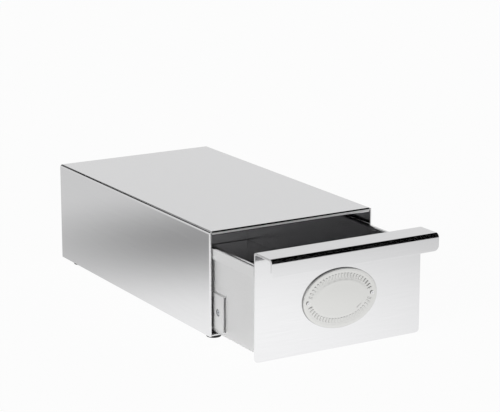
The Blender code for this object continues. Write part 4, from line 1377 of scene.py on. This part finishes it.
class KNOCKDRAWER_OT_knock_bar(bpy.types.Operator):
    """Mould the knock bar's rubber sleeve and cut the two slotted plates that hold the bar"""
    bl_idname = "knock_drawer.knock_bar"
    bl_label = "Knock bar"

    def execute(self, context):
        sheet = settings("sheet")
        self.make_sleeve()
        rod_low, rod_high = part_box("knock_bar_rod")
        slot_low = rod_low.z - sheet.fit_gap
        middle = (rod_low.y + rod_high.y) / 2
        half_slot = sheet.cradle_slot / 2
        for node in nodes_named("knock_bar_cradle_"):
            low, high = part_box(node)
            cradle = add_box("cut_" + node, low, high)

            def on_lower_corner(ends):
                return level_at(low.z)(ends) and near(ends[0].y, ends[1].y)
            soften(cradle, "EDGE", on_lower_corner, sheet.cradle_corner, CORNER_STEPS)
            slot = add_box("slot", (low.x - CUT_PAST, middle - half_slot, slot_low),
                           (high.x + CUT_PAST, middle + half_slot, high.z + CUT_PAST))
            combine(cradle, slot, "DIFFERENCE")
            deburr(cradle, sheet.cut_edge)
            hand_over(cradle, "drawer", "polished_steel", "half_polished_stainless", node)
        return {"FINISHED"}

    def make_sleeve(self):
        """A thick tube with rounded ends and two grooves."""
        turned = settings("turned")
        low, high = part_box("knock_bar_sleeve")
        middle = (low + high) / 2
        radius = (high.z - low.z) / 2
        half = (high.x - low.x) / 2
        sleeve = add_round_bar("moulded_knock_bar_sleeve", (-half, middle.y, middle.z),
                               (half, middle.y, middle.z), radius, SLEEVE_SIDES)
        outer_edge = half - turned.groove_inset
        inner_edge = outer_edge - turned.groove_width
        for place in (-outer_edge, -inner_edge, inner_edge, outer_edge):
            pick(sleeve, "FACE", every)
            bpy.ops.mesh.bisect(plane_co=(place, 0.0, 0.0), plane_no=(1.0, 0.0, 0.0))
            leave_edit()
        soften(sleeve, "EDGE", lambda ends: all(near(abs(v.x), half) for v in ends),
               turned.sleeve_edge, EDGE_STEPS)
        pick(sleeve, "FACE", lambda corners: all(
            inner_edge - TOUCH < abs(v.x) < outer_edge + TOUCH for v in corners))
        bpy.ops.mesh.extrude_region_shrink_fatten(
            TRANSFORM_OT_shrink_fatten={"value": -turned.groove_depth})
        leave_edit()
        rod_low, rod_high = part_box("knock_bar_rod")
        bore = (rod_high.z - rod_low.z) / 2 + settings("sheet").fit_gap
        drill(sleeve, [middle], (1.0, 0.0, 0.0), bore, 2 * (high.x - low.x))
        shade_bends(sleeve)
        hand_over(sleeve, "drawer", "black_rubber", "moulded_black_rubber", "knock_bar_sleeve")


class KNOCKDRAWER_OT_badge(bpy.types.Operator):
    """Press the plain oval plate with its rim, its ribbed border and its raised line"""
    bl_idname = "knock_drawer.badge"
    bl_label = "Oval plate"

    def execute(self, context):
        oval = settings("badge")
        low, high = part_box("badge_plate")
        half_x = (high.x - low.x) / 2
        half_y = (high.z - low.z) / 2
        thickness = high.y - low.y
        bpy.ops.object.select_all(action="DESELECT")
        bpy.ops.mesh.primitive_cylinder_add(vertices=OVAL_SIDES, radius=1.0, depth=thickness,
                                            location=(0.0, 0.0, thickness / 2))
        plate = bpy.context.object
        plate.scale = (half_x, half_y, 1.0)
        place_now(plate, "pressed_oval_plate")
        soften(plate, "EDGE", level_at(thickness), oval.rim_rounding, RIM_STEPS)
        pick(plate, "FACE", level_at(thickness))
        steps = [(oval.rim - oval.rim_rounding, 0.0), (oval.step, -oval.field_sink),
                 (oval.border, 0.0), (oval.step, oval.rise), (oval.line, 0.0),
                 (oval.step, -oval.rise), (oval.pad_inset, 0.0), (oval.step, oval.rise)]
        for width, rise in steps:
            bpy.ops.mesh.inset(thickness=width, depth=rise, use_even_offset=True)
        leave_edit()
        combine(plate, self.make_ribs(half_x, half_y, thickness), "UNION")
        shade_bends(plate)
        centre = (low + high) / 2
        turn = Matrix.Rotation(math.pi / 2, 4, "X")
        plate.data.transform(Matrix.Translation((centre.x, high.y, centre.z)) @ turn)
        hand_over(plate, "drawer", "satin_badge", "pressed_satin_stainless", "badge_plate")
        return {"FINISHED"}

    def make_ribs(self, half_x, half_y, thickness):
        """Small ribs across the sunk border, evenly spaced, with room left for the pins."""
        oval = settings("badge")
        inset = oval.rim + oval.step + oval.border / 2
        field = thickness - oval.field_sink
        half = Vector((oval.rib_length / 2, oval.rib_width / 2, oval.rise))
        one = add_box("rib", -half, half)
        deburr(one, oval.rise / 2, CHAMFER)
        pin_low, pin_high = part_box("badge_pin_right")
        pin = Vector(((pin_low.x + pin_high.x) / 2, 0.0, 0.0))
        rib_room = oval.rib_length * 0.6
        clear = (pin_high.x - pin_low.x) / 2 + rib_room
        ribs = []
        for spot, angle in oval_places(half_x - inset, half_y - inset, oval.rib_count):
            if min((spot - pin).length, (spot + pin).length) > clear:
                place = Matrix.Translation((spot.x, spot.y, field))
                ribs.append(copy_to(one, "rib", place @ Matrix.Rotation(angle, 4, "Z")))
        bpy.data.objects.remove(one, do_unlink=True)
        return join_all("ribs", ribs)


def oval_places(half_x, half_y, count, fineness=1440):
    """Evenly spaced places round an oval, each with the angle that faces outwards."""
    spots = []
    for step in range(fineness + 1):
        angle = 2 * math.pi * step / fineness
        spots.append(Vector((half_x * math.cos(angle), half_y * math.sin(angle), 0.0)))
    lengths = [(there - here).length for here, there in zip(spots, spots[1:])]
    pitch = sum(lengths) / count
    places = []
    travelled = pitch / 2
    for spot, length in zip(spots, lengths):
        travelled += length
        if travelled >= pitch:
            travelled -= pitch
            places.append((spot, math.atan2(spot.y * half_x ** 2, spot.x * half_y ** 2)))
    return places


class KNOCKDRAWER_PT_sidebar(bpy.types.Panel):
    """The steps that build the knock drawer's looks"""
    bl_idname = "KNOCKDRAWER_PT_sidebar"
    bl_label = "Knock Drawer"
    bl_space_type = "VIEW_3D"
    bl_region_type = "UI"
    bl_category = "Knock Drawer"

    def draw(self, context):
        for step in OPERATORS:
            self.layout.operator(step.bl_idname)


OPERATORS = (KNOCKDRAWER_OT_stage, KNOCKDRAWER_OT_finishes, KNOCKDRAWER_OT_shell,
             KNOCKDRAWER_OT_base, KNOCKDRAWER_OT_guides, KNOCKDRAWER_OT_feet,
             KNOCKDRAWER_OT_front, KNOCKDRAWER_OT_frame, KNOCKDRAWER_OT_bin,
             KNOCKDRAWER_OT_rails, KNOCKDRAWER_OT_knock_bar, KNOCKDRAWER_OT_badge,
             KNOCKDRAWER_OT_screws)
GROUPS = {"stage": KnockDrawerStage, "finish": KnockDrawerFinish, "sheet": KnockDrawerSheet,
          "turned": KnockDrawerTurned, "badge": KnockDrawerBadge}
CLASSES = (*GROUPS.values(), *OPERATORS, KNOCKDRAWER_PT_sidebar)


def register():
    for cls in CLASSES:
        bpy.utils.register_class(cls)
    for name, group in GROUPS.items():
        setattr(bpy.types.Scene, "knock_drawer_" + name, bpy.props.PointerProperty(type=group))


def unregister():
    for name in GROUPS:
        delattr(bpy.types.Scene, "knock_drawer_" + name)
    for cls in reversed(CLASSES):
        bpy.utils.unregister_class(cls)


def main():
    register()
    for step in OPERATORS:
        family, action = step.bl_idname.split(".")
        getattr(getattr(bpy.ops, family), action)()


if __name__ == "__main__":
    main()
